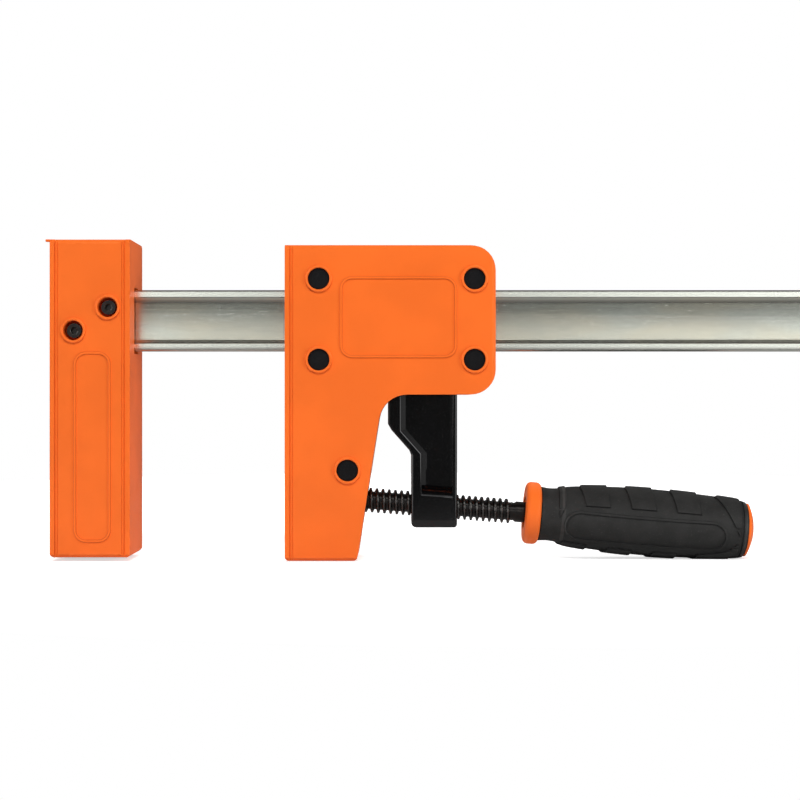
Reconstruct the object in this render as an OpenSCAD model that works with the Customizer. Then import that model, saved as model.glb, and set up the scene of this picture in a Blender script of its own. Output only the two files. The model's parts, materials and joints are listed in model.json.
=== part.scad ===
// Parallel-jaw bar clamp with a fixed jaw, a sliding jaw and a screw arm that bites on the rail.
// Millimetres. X runs along the rail, Y through the jaws and Z up. The origin is the middle of the
// fixed jaw's clamping face, halfway down the throat.

/* [Clamp] */
// Widest opening between the clamping faces
capacity = 305; // [200:1:1000]
// Opening that the clamp is drawn at
opening = 73.4; // [20:0.1:150]
// Reach of the sliding jaw below the rail
throat = 100; // [90:0.5:130]
// Thickness of both jaws, across the rail
jaw_t = 37; // [34:0.5:46]
// Bevel along the jaws' outer edges
edge = 1.5; // [0.5:0.1:2]
// Wall of the moulded casings
wall = 3; // [2.2:0.1:3.4]
// Thickness of the clamping pads
pad_t = 2.2; // [1.5:0.1:3]

/* [Rail] */
// Height of the rail
rail_h = 29.5; // [26:0.5:32]
// Thickness of the rail across its lips
rail_t = 9.5; // [8:0.1:11]
// Height of each lip's flat
lip_h = 3.6; // [2.5:0.1:5]
// Height of the slope from lip to web
slope_h = 2.2; // [1:0.1:3]
// Depth of the rolled recess on each side
recess = 1.3; // [0.6:0.1:2]
// Bevel of the rail's long edges
rail_edge = 0.8; // [0.3:0.1:1.2]

/* [Fixed jaw] */
// Width of the fixed jaw along the rail
fixed_w = 38; // [34:0.5:46]
// Rise of the fixed jaw above the rail
fixed_rise = 23.2; // [18:0.1:30]
// How far the fixed jaw's tip stops short of the sliding jaw's
fixed_short = 1.6; // [0:0.1:4]
// Distance of the lower cross screw from the jaw's back
low_screw_in = 11.1; // [10.5:0.1:12]
// Height of the lower cross screw above the rail's underside
low_screw_up = 9.4; // [8:0.1:11]
// Distance of the upper cross screw from the clamping face
high_screw_in = 10.6; // [9.5:0.1:12]
// Height of the upper cross screw above the rail's underside
high_screw_up = 20.4; // [19:0.1:22]
// Space behind the iron core of the fixed jaw
core_back = 1.2; // [0.5:0.1:3]
// Thickness of the iron cores, across the rail
core_t = 17; // [15:0.5:19]

/* [Sliding jaw] */
// Length of the sliding jaw's head along the rail
head_w = 100.2; // [99:0.1:120]
// Rise of the head above the rail
head_rise = 20.5; // [17:0.1:30]
// Drop of the head below the rail
head_drop = 21; // [18:0.5:26]
// Radius of the head's rear corners
head_r = 12; // [6:0.5:14]
// Width of the foot at its tip
foot_w = 34.2; // [32:0.1:38]
// Lean of the foot's rear edge
foot_lean = 8.9; // [6:0.1:10]
// Radius of the crook between head and foot
crook_r = 13.5; // [8:0.5:16]
// Radius of the jaws' small tip corners
tip_r = 2; // [1:0.1:3]
// Width of the iron core in the sliding jaw
slide_core_w = 29.5; // [27:0.5:31]
// Distance of the front screws from the clamping face
screw_front = 16.1; // [15:0.1:18]
// Distance of the rear screws from the head's rear end
screw_rear = 10.1; // [9:0.1:12]
// Distance of the upper and lower screws from the rail
screw_off = 4.45; // [4.2:0.05:6]
// Distance of the foot's screw from the clamping face
foot_screw_in = 29.7; // [27:0.1:30]
// Height of the foot's screw above the tip
foot_screw_up = 43; // [40:0.5:46]

/* [Screws and caps] */
// Radius of the screws' shanks
screw_r = 2; // [1.5:0.1:2]
// Radius of the screws' round heads
screw_head_r = 3.5; // [3:0.1:3.6]
// Height of the screws' heads
screw_head_h = 4; // [3:0.1:4]
// Height of the hexagon nuts
nut_h = 3.2; // [2.5:0.1:3.5]
// Radius of the caps over the sliding jaw's screws
cap_r = 5.1; // [4.5:0.1:5.5]
// Thickness of the caps
cap_t = 1.5; // [1:0.1:2]
// Radius of the open counterbores in the fixed jaw
open_r = 4.7; // [4.4:0.1:5]
// Width of the raised rings round caps and counterbores
ring_w = 1.3; // [0.8:0.1:2]
// Height of the raised rings
ring_h = 1; // [0.5:0.1:1.5]

/* [Blank panels] */
// Distance of the fixed jaw's panel from the jaw's back
fixed_panel_back = 11.3; // [8:0.1:13]
// Distance of the fixed jaw's panel from the clamping face
fixed_panel_front = 9; // [6:0.1:12]
// Distance of the fixed jaw's panel from the tip
fixed_panel_tip = 7.3; // [5:0.1:30]
// Distance of the fixed jaw's panel under the rail
fixed_panel_drop = 0.6; // [0.5:0.1:10]
// Distance of the sliding jaw's panel from the clamping face
slide_panel_front = 26.1; // [25:0.1:35]
// Distance of the sliding jaw's panel from the head's rear end
slide_panel_rear = 18.4; // [17.5:0.1:30]
// Rise of the sliding jaw's panel above the rail
slide_panel_rise = 5.6; // [2:0.1:12]
// Drop of the sliding jaw's panel below the rail
slide_panel_drop = 3.6; // [2:0.1:12]
// Radius of the panels' corners
panel_r = 6; // [3:0.5:8]
// Height of the raised line round each panel
line_h = 0.5; // [0.3:0.1:0.8]
// Width of that line
line_w = 1.3; // [0.8:0.1:1.6]

/* [Screw arm] */
// Distance of the arm's front edge from the sliding clamping face
arm_set = 48.9; // [48:0.1:50]
// Width of the arm where it leaves the head
arm_w = 33.2; // [30:0.1:34]
// Width of the arm's collar round the rail
collar_w = 22.7; // [20:0.1:23]
// Thickness of the arm, across the rail
arm_t = 20; // [18:0.1:22]
// Step of the arm's front edge at the knee
knee_step = 11.2; // [9:0.1:12]
// Depth of the knee below the rail
knee_drop = 38; // [34:0.5:40]
// Height of the knee's slope
knee_h = 9.6; // [8:0.1:12]
// Iron above the rail in the collar
collar_h = 7; // [5:0.5:8]
// Play of the collar under the rail, which lets the arm cant and bite
bite_play = 2.2; // [2:0.1:3]
// Play of the collar over the rail
top_play = 1.6; // [1.5:0.1:2]
// Width of the arm's front rim
rim_front = 6.2; // [4:0.1:7]
// Width of the arm's rear rim
rim_rear = 2.2; // [1.5:0.1:4]
// Width of the slope inside the front rim
rim_slope = 2.3; // [1:0.1:3]
// Depth of the cast recess on each side of the arm
arm_recess = 6.2; // [4:0.1:7]
// Radius of the boss round the nut
boss_r = 11; // [10.6:0.1:12]
// Height of the ledge above the nut's boss, over the spindle's axis
shelf_up = 17.5; // [16:0.1:20]
// Depth of that ledge behind the arm's sides
shelf_in = 5; // [3:0.1:6]
// Iron under the spindle's axis
arm_under = 10.4; // [10:0.1:13]

/* [Spindle] */
// Outer diameter of the trapezoidal thread
thread_d = 12; // [10:0.5:12.5]
// Rise of one turn of the thread
pitch = 3; // [2:0.5:3]
// Depth of the thread
thread_depth = 1.65; // [1:0.05:1.8]
// Number of whole turns on the spindle
turns = 24; // [23:1:25]
// Turns that the nut may travel towards the handle
turns_out = 4; // [3:0.5:4]
// Lean of the spindle, down towards the handle
droop = 4.55; // [3:0.05:6]
// Distance of the thrust barrel behind the clamping face
barrel_set = 22.1; // [20:0.1:23]
// Height of the thrust barrel above the jaw's tip
barrel_up = 29.3; // [27:0.1:34]
// Radius of the thrust barrel
barrel_r = 7.5; // [7:0.1:8.5]
// Radius of the spindle's journal in the barrel
journal_r = 4; // [3:0.1:4.1]
// Radius of the nut's outside
nut_r = 8; // [7.6:0.1:8.4]
// Distance from the barrel to where the thread starts
thread_start = 15.4; // [13:0.1:17]
// Turn of the thread about the axis at its start
thread_phase = 0; // [0:5:355]
// Radius of the plain neck between thread and handle
neck_r = 5; // [4.6:0.1:5.4]

/* [Handle] */
// Length of the handle
handle_l = 111.2; // [90:0.1:140]
// Gap from the thread's last turn to the handle's front ring
handle_gap = 2.7; // [2:0.1:10]
// Radius of the front ring
ring_r = 15; // [14:0.1:17]
// Thickness of the front ring
ring_t = 7.3; // [5:0.1:9]
// Radius of the recess in the front ring
mouth_r = 8; // [7:0.1:10]
// Depth of that recess
mouth_d = 4.5; // [3:0.1:6]
// Length of the spindle inside the handle
tail_l = 57; // [45:0.5:60]
// Distance of the handle's cross pin from its front
pin_in = 35; // [20:0.5:40]
// Radius of the handle's cross pin
pin_r = 1.5; // [1:0.1:2]
// Radius of the hard sleeve under the grip
sleeve_r = 10.5; // [9:0.1:11.5]
// Radius of the grip at its waist, behind the ring
waist_r = 12.8; // [12.4:0.1:14]
// Radius of the grip at its belly
belly_r = 16.9; // [15.5:0.1:19]
// Radius of the grip's rear end
heel_r = 13.4; // [12.5:0.1:15]
// Height of the domed end cap
dome_h = 3.6; // [2:0.1:6]

/* [End stop] */
// Length of rail inside the end stop
stop_in = 10; // [8:0.5:14]
// Wall of the end stop
stop_wall = 2.5; // [2:0.1:4]
// Radius of the end stop's cross pin
stop_pin_r = 1.5; // [1:0.1:2]

/* [Clearances] */
// Radial play of a turning fit
run = 0.05; // [0.02:0.01:0.09]
// Play of parts that are seated or pressed together
seat = 0.02; // [0.01:0.01:0.05]
// Play of a screw's shank or a nut in its hole
loose = 0.1; // [0.05:0.01:0.2]
// Gap between parts that move past each other
gap = 0.4; // [0.3:0.05:0.6]
// Gap of the casings round the rail, over and under it
slot_gap = 1.2; // [0.8:0.1:1.5]
// Play between the crests and roots of nut and spindle
crest_play = 0.15; // [0.12:0.01:0.2]
// Play between the flanks of nut and spindle
thread_play = 0.14; // [0.1:0.01:0.2]
// Gap round the spindle where it leaves the casing
exit_gap = 1.1; // [0.8:0.1:1.5]

/* [Hidden] */

orange = [0.93, 0.40, 0.14];
black = [0.07, 0.07, 0.07];
rubber = [0.13, 0.13, 0.13];
steel = [0.72, 0.73, 0.71];
iron = [0.35, 0.35, 0.36];
oxide = [0.16, 0.15, 0.14];

$fn = 48;
arc_steps = 8;
over = 1;                // how far a cut runs past the face it opens
sunk = 0.2;              // how far a raised line starts below its face, and a pin's end inside its hole
half_t = jaw_t / 2;
core_y = core_t / 2;
arm_y = arm_t / 2;

// Heights
rail_z = throat / 2;
rail_top = rail_z + rail_h;
tip_z = -throat / 2;
fixed_top = rail_top + fixed_rise;
fixed_tip = tip_z + fixed_short;
head_top = rail_top + head_rise;
head_z = rail_z - head_drop;

// Stations along the rail
slide_x = opening;
head_x1 = slide_x + head_w;
core_gap = 0.2;          // between a core's edge and the wall beside it
fixed_core_x1 = -pad_t - wall - core_gap;
fixed_core_x0 = -fixed_w + pad_t + wall + core_back;
rail_x0 = -fixed_w + pad_t + wall + core_gap;
stop_play = 0.8;         // between the open head and the end stop
stop_x = capacity + head_w + stop_play;
rail_x1 = stop_x + stop_in;
slide_core_x0 = slide_x + pad_t + wall + core_gap;
slide_core_x1 = slide_core_x0 + slide_core_w;

// Screws: four round the rail and one in the foot of the sliding jaw, two across the fixed jaw
screw_x = [slide_x + screw_front, head_x1 - screw_rear];
screw_z = [rail_top + screw_off, rail_z - screw_off];
foot_screw = [slide_x + foot_screw_in, tip_z + foot_screw_up];
slide_screws = [for (x = screw_x, z = screw_z) [x, z], foot_screw];
fixed_screws = [[-fixed_w + low_screw_in, rail_z + low_screw_up],
                [-high_screw_in, rail_z + high_screw_up]];
screw_boss_r = screw_r + 2;
screw_seat_y = half_t - 6.5;      // where the heads and nuts bear
cap_floor_y = half_t - 2;         // where a cap rests
head_play = 0.3;                  // round a screw's head
nut_af_r = 4.04;                  // across the corners of a 7 mm nut, halved
nut_t = screw_seat_y + nut_h;
socket_r = 1.75;
socket_d = 2.2;

// The rail's section and the end stop's pin
rail_y = rail_t / 2;
web_y = rail_y - recess;
stop_y = rail_y + stop_wall;
stop_pin = [stop_x + stop_in / 2, (rail_z + rail_top) / 2];

// Ribs inside the casings, and the pegs that hold a pad to the casing behind it
rib_t = 2.4;
rib_drop = 6;            // of the top rib under the head's top wall
rib_off = 6;             // of the arm's ribs from the rail and from the head's bottom wall
fixed_rib_shares = [0.06, 0.3, 0.54, 0.78];
slide_rib_shares = [0.08, 0.3, 0.74, 0.96];
peg_r = 1.5;
peg_l = wall - 0.5;
peg_y = half_t / 2;
peg_tip = 14;            // heights of the pegs over the tip, under the rail and over it
peg_under = 8;
peg_over = 9;

// Shadow lines down a casing's front face: a groove next to the pad, then a fine line
groove_w = 0.7;
groove_d = 0.8;
line_at = 1.3;
line_cut = 0.5;

// The spindle's axis: it starts in the thrust barrel and leans down towards the handle
barrel = [slide_x + barrel_set, tip_z + barrel_up];
function axis_z(x) = barrel.y - tan(droop) * (x - barrel.x);
function along(x) = (x - barrel.x) / cos(droop);
thread_r = thread_d / 2;
root_r = thread_r - thread_depth;
thread_end = thread_start + (turns + 1) * pitch;
handle_s = thread_end + handle_gap;
tail_s = handle_s + tail_l;
handle_pin_s = handle_s + pin_in;

// The thrust barrel, its pin and the spindle's journal
barrel_y = core_y - gap;
barrel_flat = barrel_r - 1;
slot_half = journal_r + 2.4;
tip_s = -5.3;
end_play = 0.2;
key_pin_r = 1;
key_pin_s = -1.5;
key_pin_off = journal_r - 0.1;
groove_r = key_pin_off - key_pin_r - loose;
groove_half = key_pin_r + loose;
shoulder_s = barrel_flat + loose;
shoulder_r = journal_r + 1.4;
shoulder_t = 2.4;
core_step = 0.15;        // of the plain core under the thread's root
core_lap = 0.5;          // of the plain core into the thread

// The arm: its travel along the spindle, and the window and wear plates that leave room for it
arm_x0 = slide_x + arm_set;
arm_x1 = arm_x0 + arm_w;
arm_foot_x = arm_x0 + knee_step;
arm_mid = (arm_foot_x + arm_x1) / 2;
arm_z0 = axis_z(arm_mid) - arm_under;
collar_x1 = arm_x0 + collar_w;
collar_z0 = rail_z - bite_play;
collar_z1 = rail_top + top_play;
arm_top = collar_z1 + collar_h;
knee_z = rail_z - knee_drop;
arm_back = pitch;                 // travel of the arm towards the jaw
arm_out = turns_out * pitch;      // travel of the arm towards the handle
window_play = 1.9;
window_x0 = arm_x0 - arm_back - window_play;
window_x1 = min(arm_x1 + arm_out + gap, head_x1 - wall);
guide_l = 9;
guide_t = 1.5;
guide_x0 = head_x1 - wall - guide_l;
guide_y = rail_y + 2.3;
guide_block = 10;                 // of the head's rear block over and under the rail

// Points of an arc about a centre, from one angle to another
function arc(c, r, from, to, n = arc_steps) =
    [for (i = [0:n]) c + r * [cos(from + (to - from) * i / n), sin(from + (to - from) * i / n)]];

// A rectangle with round corners, as points
function round_box(x0, z0, x1, z1, r) = concat(
    arc([x1 - r, z1 - r], r, 90, 0), arc([x1 - r, z0 + r], r, 0, -90),
    arc([x0 + r, z0 + r], r, -90, -180), arc([x0 + r, z1 - r], r, 180, 90));

// A clockwise outline with each edge moved in by its own distance
function inward(a, b) = [b.y - a.y, a.x - b.x] / norm(b - a);
function moved_in(points, by) = let (n = len(points)) [for (i = [0:n - 1]) let (
    j = (i + n - 1) % n,
    m = inward(points[j], points[i]),
    k = inward(points[i], points[(i + 1) % n]))
    points[i] + [by[j] * k.y - by[i] * m.y, by[i] * m.x - by[j] * k.x] / (m.x * k.y - m.y * k.x)];

// Rear edge of the sliding jaw's foot at a height, and the same edge moved in
function foot_x(z, in = 0) = slide_x + foot_w + tan(foot_lean) * (z - tip_z) - in / cos(foot_lean);

crook = [foot_x(head_z - crook_r, -crook_r), head_z - crook_r];

// Outline of the sliding jaw's casing, moved in by the given distance
least_r = 0.2;
function slide_outline(in = 0) = let (
    x0 = slide_x + pad_t + in, x1 = head_x1 - in, z0 = head_z + in, z1 = head_top - in,
    r = head_r - in, tr = max(tip_r - in, least_r), tz = tip_z + in + tr)
    concat(
        [[x0, z1]],
        arc([x1 - r, z1 - r], r, 90, 0),
        arc([x1 - r, z0 + r], r, 0, -90),
        arc(crook, crook_r + in, 90, 180 - foot_lean),
        arc([foot_x(tz, in + tr), tz], tr, -foot_lean, -90),
        [[x0, tip_z + in]]);

// Outline of the iron core in the sliding jaw
core_lead = 3.2;         // between the core and the foot's rear wall
core_top_gap = 1.5;
core_tip_gap = 3;
core_top = head_top - wall - core_top_gap;
core_bottom = tip_z + wall + core_tip_gap;
core_kink = tip_z + (slide_core_x1 + (wall + core_lead) / cos(foot_lean) - slide_x - foot_w)
    / tan(foot_lean);
slide_core_outline = [
    [slide_core_x0, core_top], [slide_core_x1, core_top], [slide_core_x1, core_kink],
    [foot_x(core_bottom, wall + core_lead), core_bottom], [slide_core_x0, core_bottom]];

// Outline of the screw arm, from the collar down to the nut's boss
toe_r = 2.5;
heel_corner_r = 1.5;
knee_in = [1.7, 3];      // the knee's upper and lower ends, eased
knee_out = [1, 2.6];
shoulder_z = [head_z + 2, head_z + 11];
arm_outline = concat(
    [[arm_x0, arm_top], [collar_x1, arm_top], [collar_x1, shoulder_z[1]], [arm_x1, shoulder_z[0]]],
    arc([arm_x1 - heel_corner_r, arm_z0 + heel_corner_r], heel_corner_r, 0, -90, 4),
    arc([arm_foot_x + toe_r, arm_z0 + toe_r], toe_r, -90, -180, 4),
    [[arm_foot_x, knee_z - knee_h - knee_out.y], [arm_foot_x - knee_out.x, knee_z - knee_h],
     [arm_x0 + knee_in.x, knee_z], [arm_x0, knee_z + knee_in.y]]);

// Corners of the arm's recess at its mouth, and at its floor inside the sloped rim
recess_top = collar_z0 - 4;
recess_low = axis_z(arm_mid) - 2;
rim_foot = rim_front - 1.5;
rim_eased = [1.8, 0.5];
foot_slope = rim_slope + 0.6;
recess_mouth = [
    [arm_x0 + rim_front, recess_top], [arm_x1 - rim_rear, recess_top],
    [arm_x1 - rim_rear, recess_low], [arm_foot_x + rim_foot, recess_low],
    [arm_foot_x + rim_foot, knee_z - knee_h - rim_eased[0]],
    [arm_x0 + rim_front, knee_z - rim_eased[1]]];
recess_floor = moved_in(recess_mouth, [2, 1, 0, foot_slope, rim_slope, rim_slope]);
shelf_z = axis_z(arm_mid) + shelf_up;
shelf_y = arm_y - shelf_in;

// A box between two opposite corners
module box(low, high) {
    translate(low) cube(high - low);
}

// Draws a shape of X and Z, and gives it depth from one Y to another
module across(y0, y1) {
    translate([0, y1, 0]) rotate([90, 0, 0]) linear_extrude(height = y1 - y0) children();
}

// Draws a shape of Y and Z, and gives it length from one X to another
module lengthwise(x0, x1) {
    translate([x0, 0, 0]) rotate([90, 0, 90]) linear_extrude(height = x1 - x0) children();
}

// A round bar through the jaw at a place in X and Z
module rod(p, r, y0, y1) {
    translate([p.x, y0, p.y]) rotate([-90, 0, 0]) cylinder(r = r, h = y1 - y0);
}

// Stands what is drawn upwards on the spindle's axis, at a distance from the barrel
module on_axis(s = 0) {
    translate([barrel.x, 0, barrel.y]) rotate([0, 90 + droop, 0]) translate([0, 0, s]) children();
}

// Section of a jaw across Y, bevelled along its top and bottom; the front half only if asked
module jaw_section(z0, z1, half = false) {
    y = half_t;
    right = half ? [[0, z1], [0, z0]]
        : [[y - edge, z1], [y, z1 - edge], [y, z0 + edge], [y - edge, z0]];
    polygon(concat([[-y + edge, z0], [-y, z0 + edge], [-y, z1 - edge], [-y + edge, z1]], right));
}

// The hole that the rail leaves in pads and casings
module rail_hole(x0, x1) {
    box([x0, -rail_y - gap, rail_z - slot_gap], [x1, rail_y + gap, rail_top + slot_gap]);
}

// Half of the rail's section, lip to lip, on the side of positive Y
rail_half = [
    [rail_y - rail_edge, rail_z], [rail_y, rail_z + rail_edge], [rail_y, rail_z + lip_h],
    [web_y, rail_z + lip_h + slope_h], [web_y, rail_top - lip_h - slope_h],
    [rail_y, rail_top - lip_h], [rail_y, rail_top - rail_edge], [rail_y - rail_edge, rail_top]];

module rail() {
    n = len(rail_half);
    color(steel) difference() {
        lengthwise(rail_x0, rail_x1)
            polygon(concat(rail_half, [for (i = [n - 1:-1:0]) [-rail_half[i].x, rail_half[i].y]]));
        for (p = fixed_screws) rod(p, screw_r + loose, -rail_t, rail_t);
        rod(stop_pin, stop_pin_r, -rail_t, rail_t);
    }
}

// End stop, a moulded cap pinned to the rail
module end_stop() {
    color(black) difference() {
        box([stop_x, -stop_y, rail_z - stop_wall], [rail_x1 + stop_wall, stop_y, rail_top + stop_wall]);
        box([stop_x - over, -rail_y - seat, rail_z - seat],
            [rail_x1 + seat, rail_y + seat, rail_top + seat]);
        rod(stop_pin, stop_pin_r, -stop_y - over, stop_y + over);
    }
}

module end_stop_pin() {
    color(steel) rod(stop_pin, stop_pin_r - seat, -stop_y + sunk, stop_y - sunk);
}

// The pegs of a pad, or their holes
module pegs(z0, r, l) {
    for (y = [-peg_y, peg_y], z = [z0 + peg_tip, rail_z - peg_under, rail_top + peg_over])
        translate([0, y, z]) rotate([0, 90, 0]) cylinder(r = r, h = l);
}

// A clamping pad with its face at X = 0, its body behind it and its pegs behind that
module pad(z0, z1, slotted = true) {
    color(orange) {
        difference() {
            intersection() {
                lengthwise(0, pad_t) jaw_section(z0, z1);
                across(-half_t, half_t)
                    polygon(concat([[pad_t + over, z1]], [[0, z1]],
                        arc([tip_r, z0 + tip_r], tip_r, 180, 270, 4), [[pad_t + over, z0]]));
            }
            if (slotted) rail_hole(-over, pad_t + over);
        }
        translate([pad_t, 0, 0]) pegs(z0, peg_r, peg_l);
    }
}

module fixed_inner_pad() {
    mirror([1, 0, 0]) pad(fixed_tip, fixed_top);
}

module fixed_outer_pad() {
    translate([-fixed_w, 0, 0]) pad(fixed_tip, fixed_top, false);
}

module slide_pad() {
    translate([slide_x, 0, 0]) pad(tip_z, head_top);
}

// What a pad needs of the casing behind its plane at X = 0: peg holes and two shadow lines
module pad_seat(z0, z1) {
    pegs(z0, peg_r + run, peg_l + seat);
    box([-over, -half_t - over, z0 - over], [groove_w, -half_t + groove_d, z1 + over]);
    box([line_at, -half_t - over, z0 - over], [line_at + line_cut, -half_t + line_cut, z1 + over]);
}

// A raised line round a blank panel on a casing's front face
module panel_line(x0, z0, x1, z1, r) {
    across(-half_t - line_h, -half_t + sunk) difference() {
        polygon(round_box(x0, z0, x1, z1, r));
        polygon(round_box(x0 + line_w, z0 + line_w, x1 - line_w, z1 - line_w, r - line_w));
    }
}

// A hexagonal pocket for a nut, seen from the front half's side
module nut_seat(p, y0) {
    translate([p.x, y0, p.y]) rotate([-90, 0, 0])
        cylinder(r = nut_af_r + loose, h = -screw_seat_y - y0, $fn = 6);
}

// Front half of the fixed jaw's casing, without its screw seats
module fixed_shell() {
    x0 = -fixed_w + pad_t;
    x1 = -pad_t;
    inner_y = -half_t + wall;
    ribs = concat([for (f = fixed_rib_shares) fixed_tip + f * (rail_z - fixed_tip)], [rail_top + peg_over]);
    difference() {
        union() {
            difference() {
                lengthwise(x0, x1) jaw_section(fixed_tip, fixed_top, true);
                box([x0 + wall, inner_y, fixed_tip + wall], [x1 - wall, over, fixed_top - wall]);
            }
            for (z = ribs)
                box([x0 + wall / 2, inner_y - wall / 2, z - rib_t / 2], [x1 - wall / 2, 0, z + rib_t / 2]);
            for (p = fixed_screws) rod(p, open_r + ring_w, -half_t - ring_h, -core_y - seat);
            panel_line(-fixed_w + fixed_panel_back, fixed_tip + fixed_panel_tip,
                -fixed_panel_front, rail_z - fixed_panel_drop, panel_r);
        }
        box([fixed_core_x0 - core_gap, -core_y - seat, fixed_tip + wall],
            [x1 - wall, over, fixed_top - wall]);
        rail_hole(rail_x0 - core_gap, over);
        for (p = fixed_screws) rod(p, screw_r + loose, -half_t, 0);
        translate([x0, 0, 0]) pad_seat(fixed_tip, fixed_top);
        translate([x1, 0, 0]) mirror([1, 0, 0]) pad_seat(fixed_tip, fixed_top);
    }
}

module fixed_casing_front() {
    color(orange) difference() {
        fixed_shell();
        for (p = fixed_screws) rod(p, open_r, -half_t - ring_h - over, -screw_seat_y);
    }
}

module fixed_casing_back() {
    color(orange) mirror([0, 1, 0]) difference() {
        fixed_shell();
        for (p = fixed_screws) nut_seat(p, -half_t - ring_h - over);
    }
}

module fixed_core() {
    color(iron) difference() {
        box([fixed_core_x0, -core_y, fixed_tip + wall + core_tip_gap],
            [fixed_core_x1, core_y, fixed_top - wall - core_top_gap]);
        box([fixed_core_x0 - over, -rail_y - seat, rail_z - seat],
            [fixed_core_x1 + over, rail_y + seat, rail_top + seat]);
        for (p = fixed_screws) rod(p, screw_r + loose, -core_y - over, core_y + over);
    }
}

// One screw with its round head to the front and a hexagon socket in it
module screw(p) {
    head_y = screw_seat_y + screw_head_h;
    difference() {
        union() {
            rod(p, screw_head_r, -head_y, -screw_seat_y);
            rod(p, screw_r, -screw_seat_y - seat, nut_t + sunk);
        }
        translate([p.x, -head_y - over, p.y]) rotate([-90, 0, 0])
            cylinder(r = socket_r, h = socket_d + over, $fn = 6);
    }
}

module nut(p) {
    difference() {
        translate([p.x, screw_seat_y, p.y]) rotate([-90, 0, 0]) cylinder(r = nut_af_r, h = nut_h, $fn = 6);
        rod(p, screw_r + seat, screw_seat_y - over, nut_t + over);
    }
}

module cross_screws() {
    color(oxide) for (p = fixed_screws) screw(p);
}

module cross_nuts() {
    color(oxide) for (p = fixed_screws) nut(p);
}

// What stiffens the sliding jaw's casing: ribs, the block behind the arm and the screws' bosses
module slide_ribs(x0, inner_y) {
    rib_y = -core_y - seat;
    top_z = head_top - wall - rib_drop;
    for (z = [for (f = slide_rib_shares) tip_z + f * (head_z - tip_z)])
        box([x0, inner_y, z - rib_t / 2], [foot_x(z), rib_y, z + rib_t / 2]);
    box([x0, inner_y, top_z], [slide_core_x1, rib_y, top_z + rib_t]);
    for (z = [head_z + rib_off, rail_top + rib_off])
        box([slide_core_x1, inner_y, z], [guide_x0 + over, -arm_y - gap, z + rib_t]);
    box([guide_x0, inner_y, rail_z - guide_block], [head_x1, 0, rail_top + guide_block]);
    for (p = slide_screws) rod(p, screw_boss_r, inner_y, p.x > slide_core_x1 ? 0 : rib_y);
}

// Front half of the sliding jaw's casing, without its screw seats
module slide_shell() {
    x0 = slide_x + pad_t;
    inner_y = -half_t + wall / 2;
    difference() {
        union() {
            difference() {
                intersection() {
                    across(-half_t, 0) polygon(slide_outline());
                    lengthwise(x0, head_x1) jaw_section(tip_z, head_top, true);
                    rear_bevel();
                }
                across(-half_t + wall, over) polygon(slide_outline(wall));
            }
            intersection() {
                across(inner_y, 0) polygon(slide_outline(wall / 2));
                slide_ribs(x0, inner_y);
            }
            for (p = slide_screws) rod(p, cap_r + run + ring_w, -half_t - ring_h, -half_t + 2 * wall);
            panel_line(slide_x + slide_panel_front, rail_z - slide_panel_drop,
                head_x1 - slide_panel_rear, rail_top + slide_panel_rise, panel_r);
        }
        rail_hole(x0 - over, head_x1 + over);
        for (p = slide_screws) {
            rod(p, screw_r + loose, -half_t, over);
            rod(p, cap_r + run, -half_t - ring_h - over, -cap_floor_y);
        }
        box([guide_x0 - over, -guide_y - seat, rail_z - gap - guide_t],
            [head_x1 - wall, over, rail_top + gap + guide_t]);
        box([window_x0, -arm_y - gap, crook.y - 4], [window_x1, over, rail_z - guide_block]);
        on_axis(shoulder_s + shoulder_t) cylinder(r = thread_r + exit_gap, h = foot_w);
        translate([x0, 0, 0]) pad_seat(tip_z, head_top);
    }
}

// Everything but the bevel along the head's rear end
module rear_bevel() {
    translate([0, 0, tip_z - over]) linear_extrude(height = head_top - tip_z + 2 * over)
        polygon([[slide_x, -half_t], [head_x1 - edge, -half_t], [head_x1, -half_t + edge],
                 [head_x1, 0], [slide_x, 0]]);
}

module slide_casing_front() {
    color(orange) difference() {
        slide_shell();
        for (p = slide_screws) rod(p, screw_head_r + head_play, -half_t, -screw_seat_y);
    }
}

module slide_casing_back() {
    color(orange) mirror([0, 1, 0]) difference() {
        slide_shell();
        for (p = slide_screws) nut_seat(p, -half_t);
    }
}

module slide_core() {
    color(iron) difference() {
        across(-core_y, core_y) polygon(slide_core_outline);
        box([slide_core_x0 - over, -rail_y - gap, rail_z - gap],
            [slide_core_x1 + over, rail_y + gap, rail_top + gap]);
        for (p = slide_screws) rod(p, screw_r + loose, -core_y - over, core_y + over);
        rod(barrel, barrel_r + run, -core_y - over, core_y + over);
        on_axis() box([-slot_half, -slot_half, 0], [slot_half, slot_half, slide_core_w]);
    }
}

module casing_screws() {
    color(oxide) for (p = slide_screws) screw(p);
}

module casing_nuts() {
    color(oxide) for (p = slide_screws) nut(p);
}

module caps() {
    for (p = slide_screws) rod(p, cap_r, -cap_floor_y - cap_t, -cap_floor_y);
}

module front_caps() {
    color(black) caps();
}

module back_caps() {
    color(black) mirror([0, 1, 0]) caps();
}

// Wear plates over and under the rail at the head's rear end
module rail_guides() {
    color(black) for (z = [rail_z - gap - guide_t + seat, rail_top + gap])
        box([guide_x0, -guide_y, z], [head_x1 - wall - seat, guide_y, z + guide_t - seat]);
}

// Pivot block that takes the spindle's push and lets it cant
module thrust_barrel() {
    color(steel) difference() {
        rod(barrel, barrel_r, -barrel_y, barrel_y);
        on_axis(barrel_flat) box([-barrel_r, -barrel_y - over, 0], [barrel_r, barrel_y + over, barrel_r]);
        on_axis(tip_s - end_play) cylinder(r = journal_r + run, h = 2 * barrel_r);
        on_axis(key_pin_s) translate([-key_pin_off, -barrel_y - over, 0]) rotate([-90, 0, 0])
            cylinder(r = key_pin_r + seat, h = 2 * (barrel_y + over));
    }
}

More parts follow.
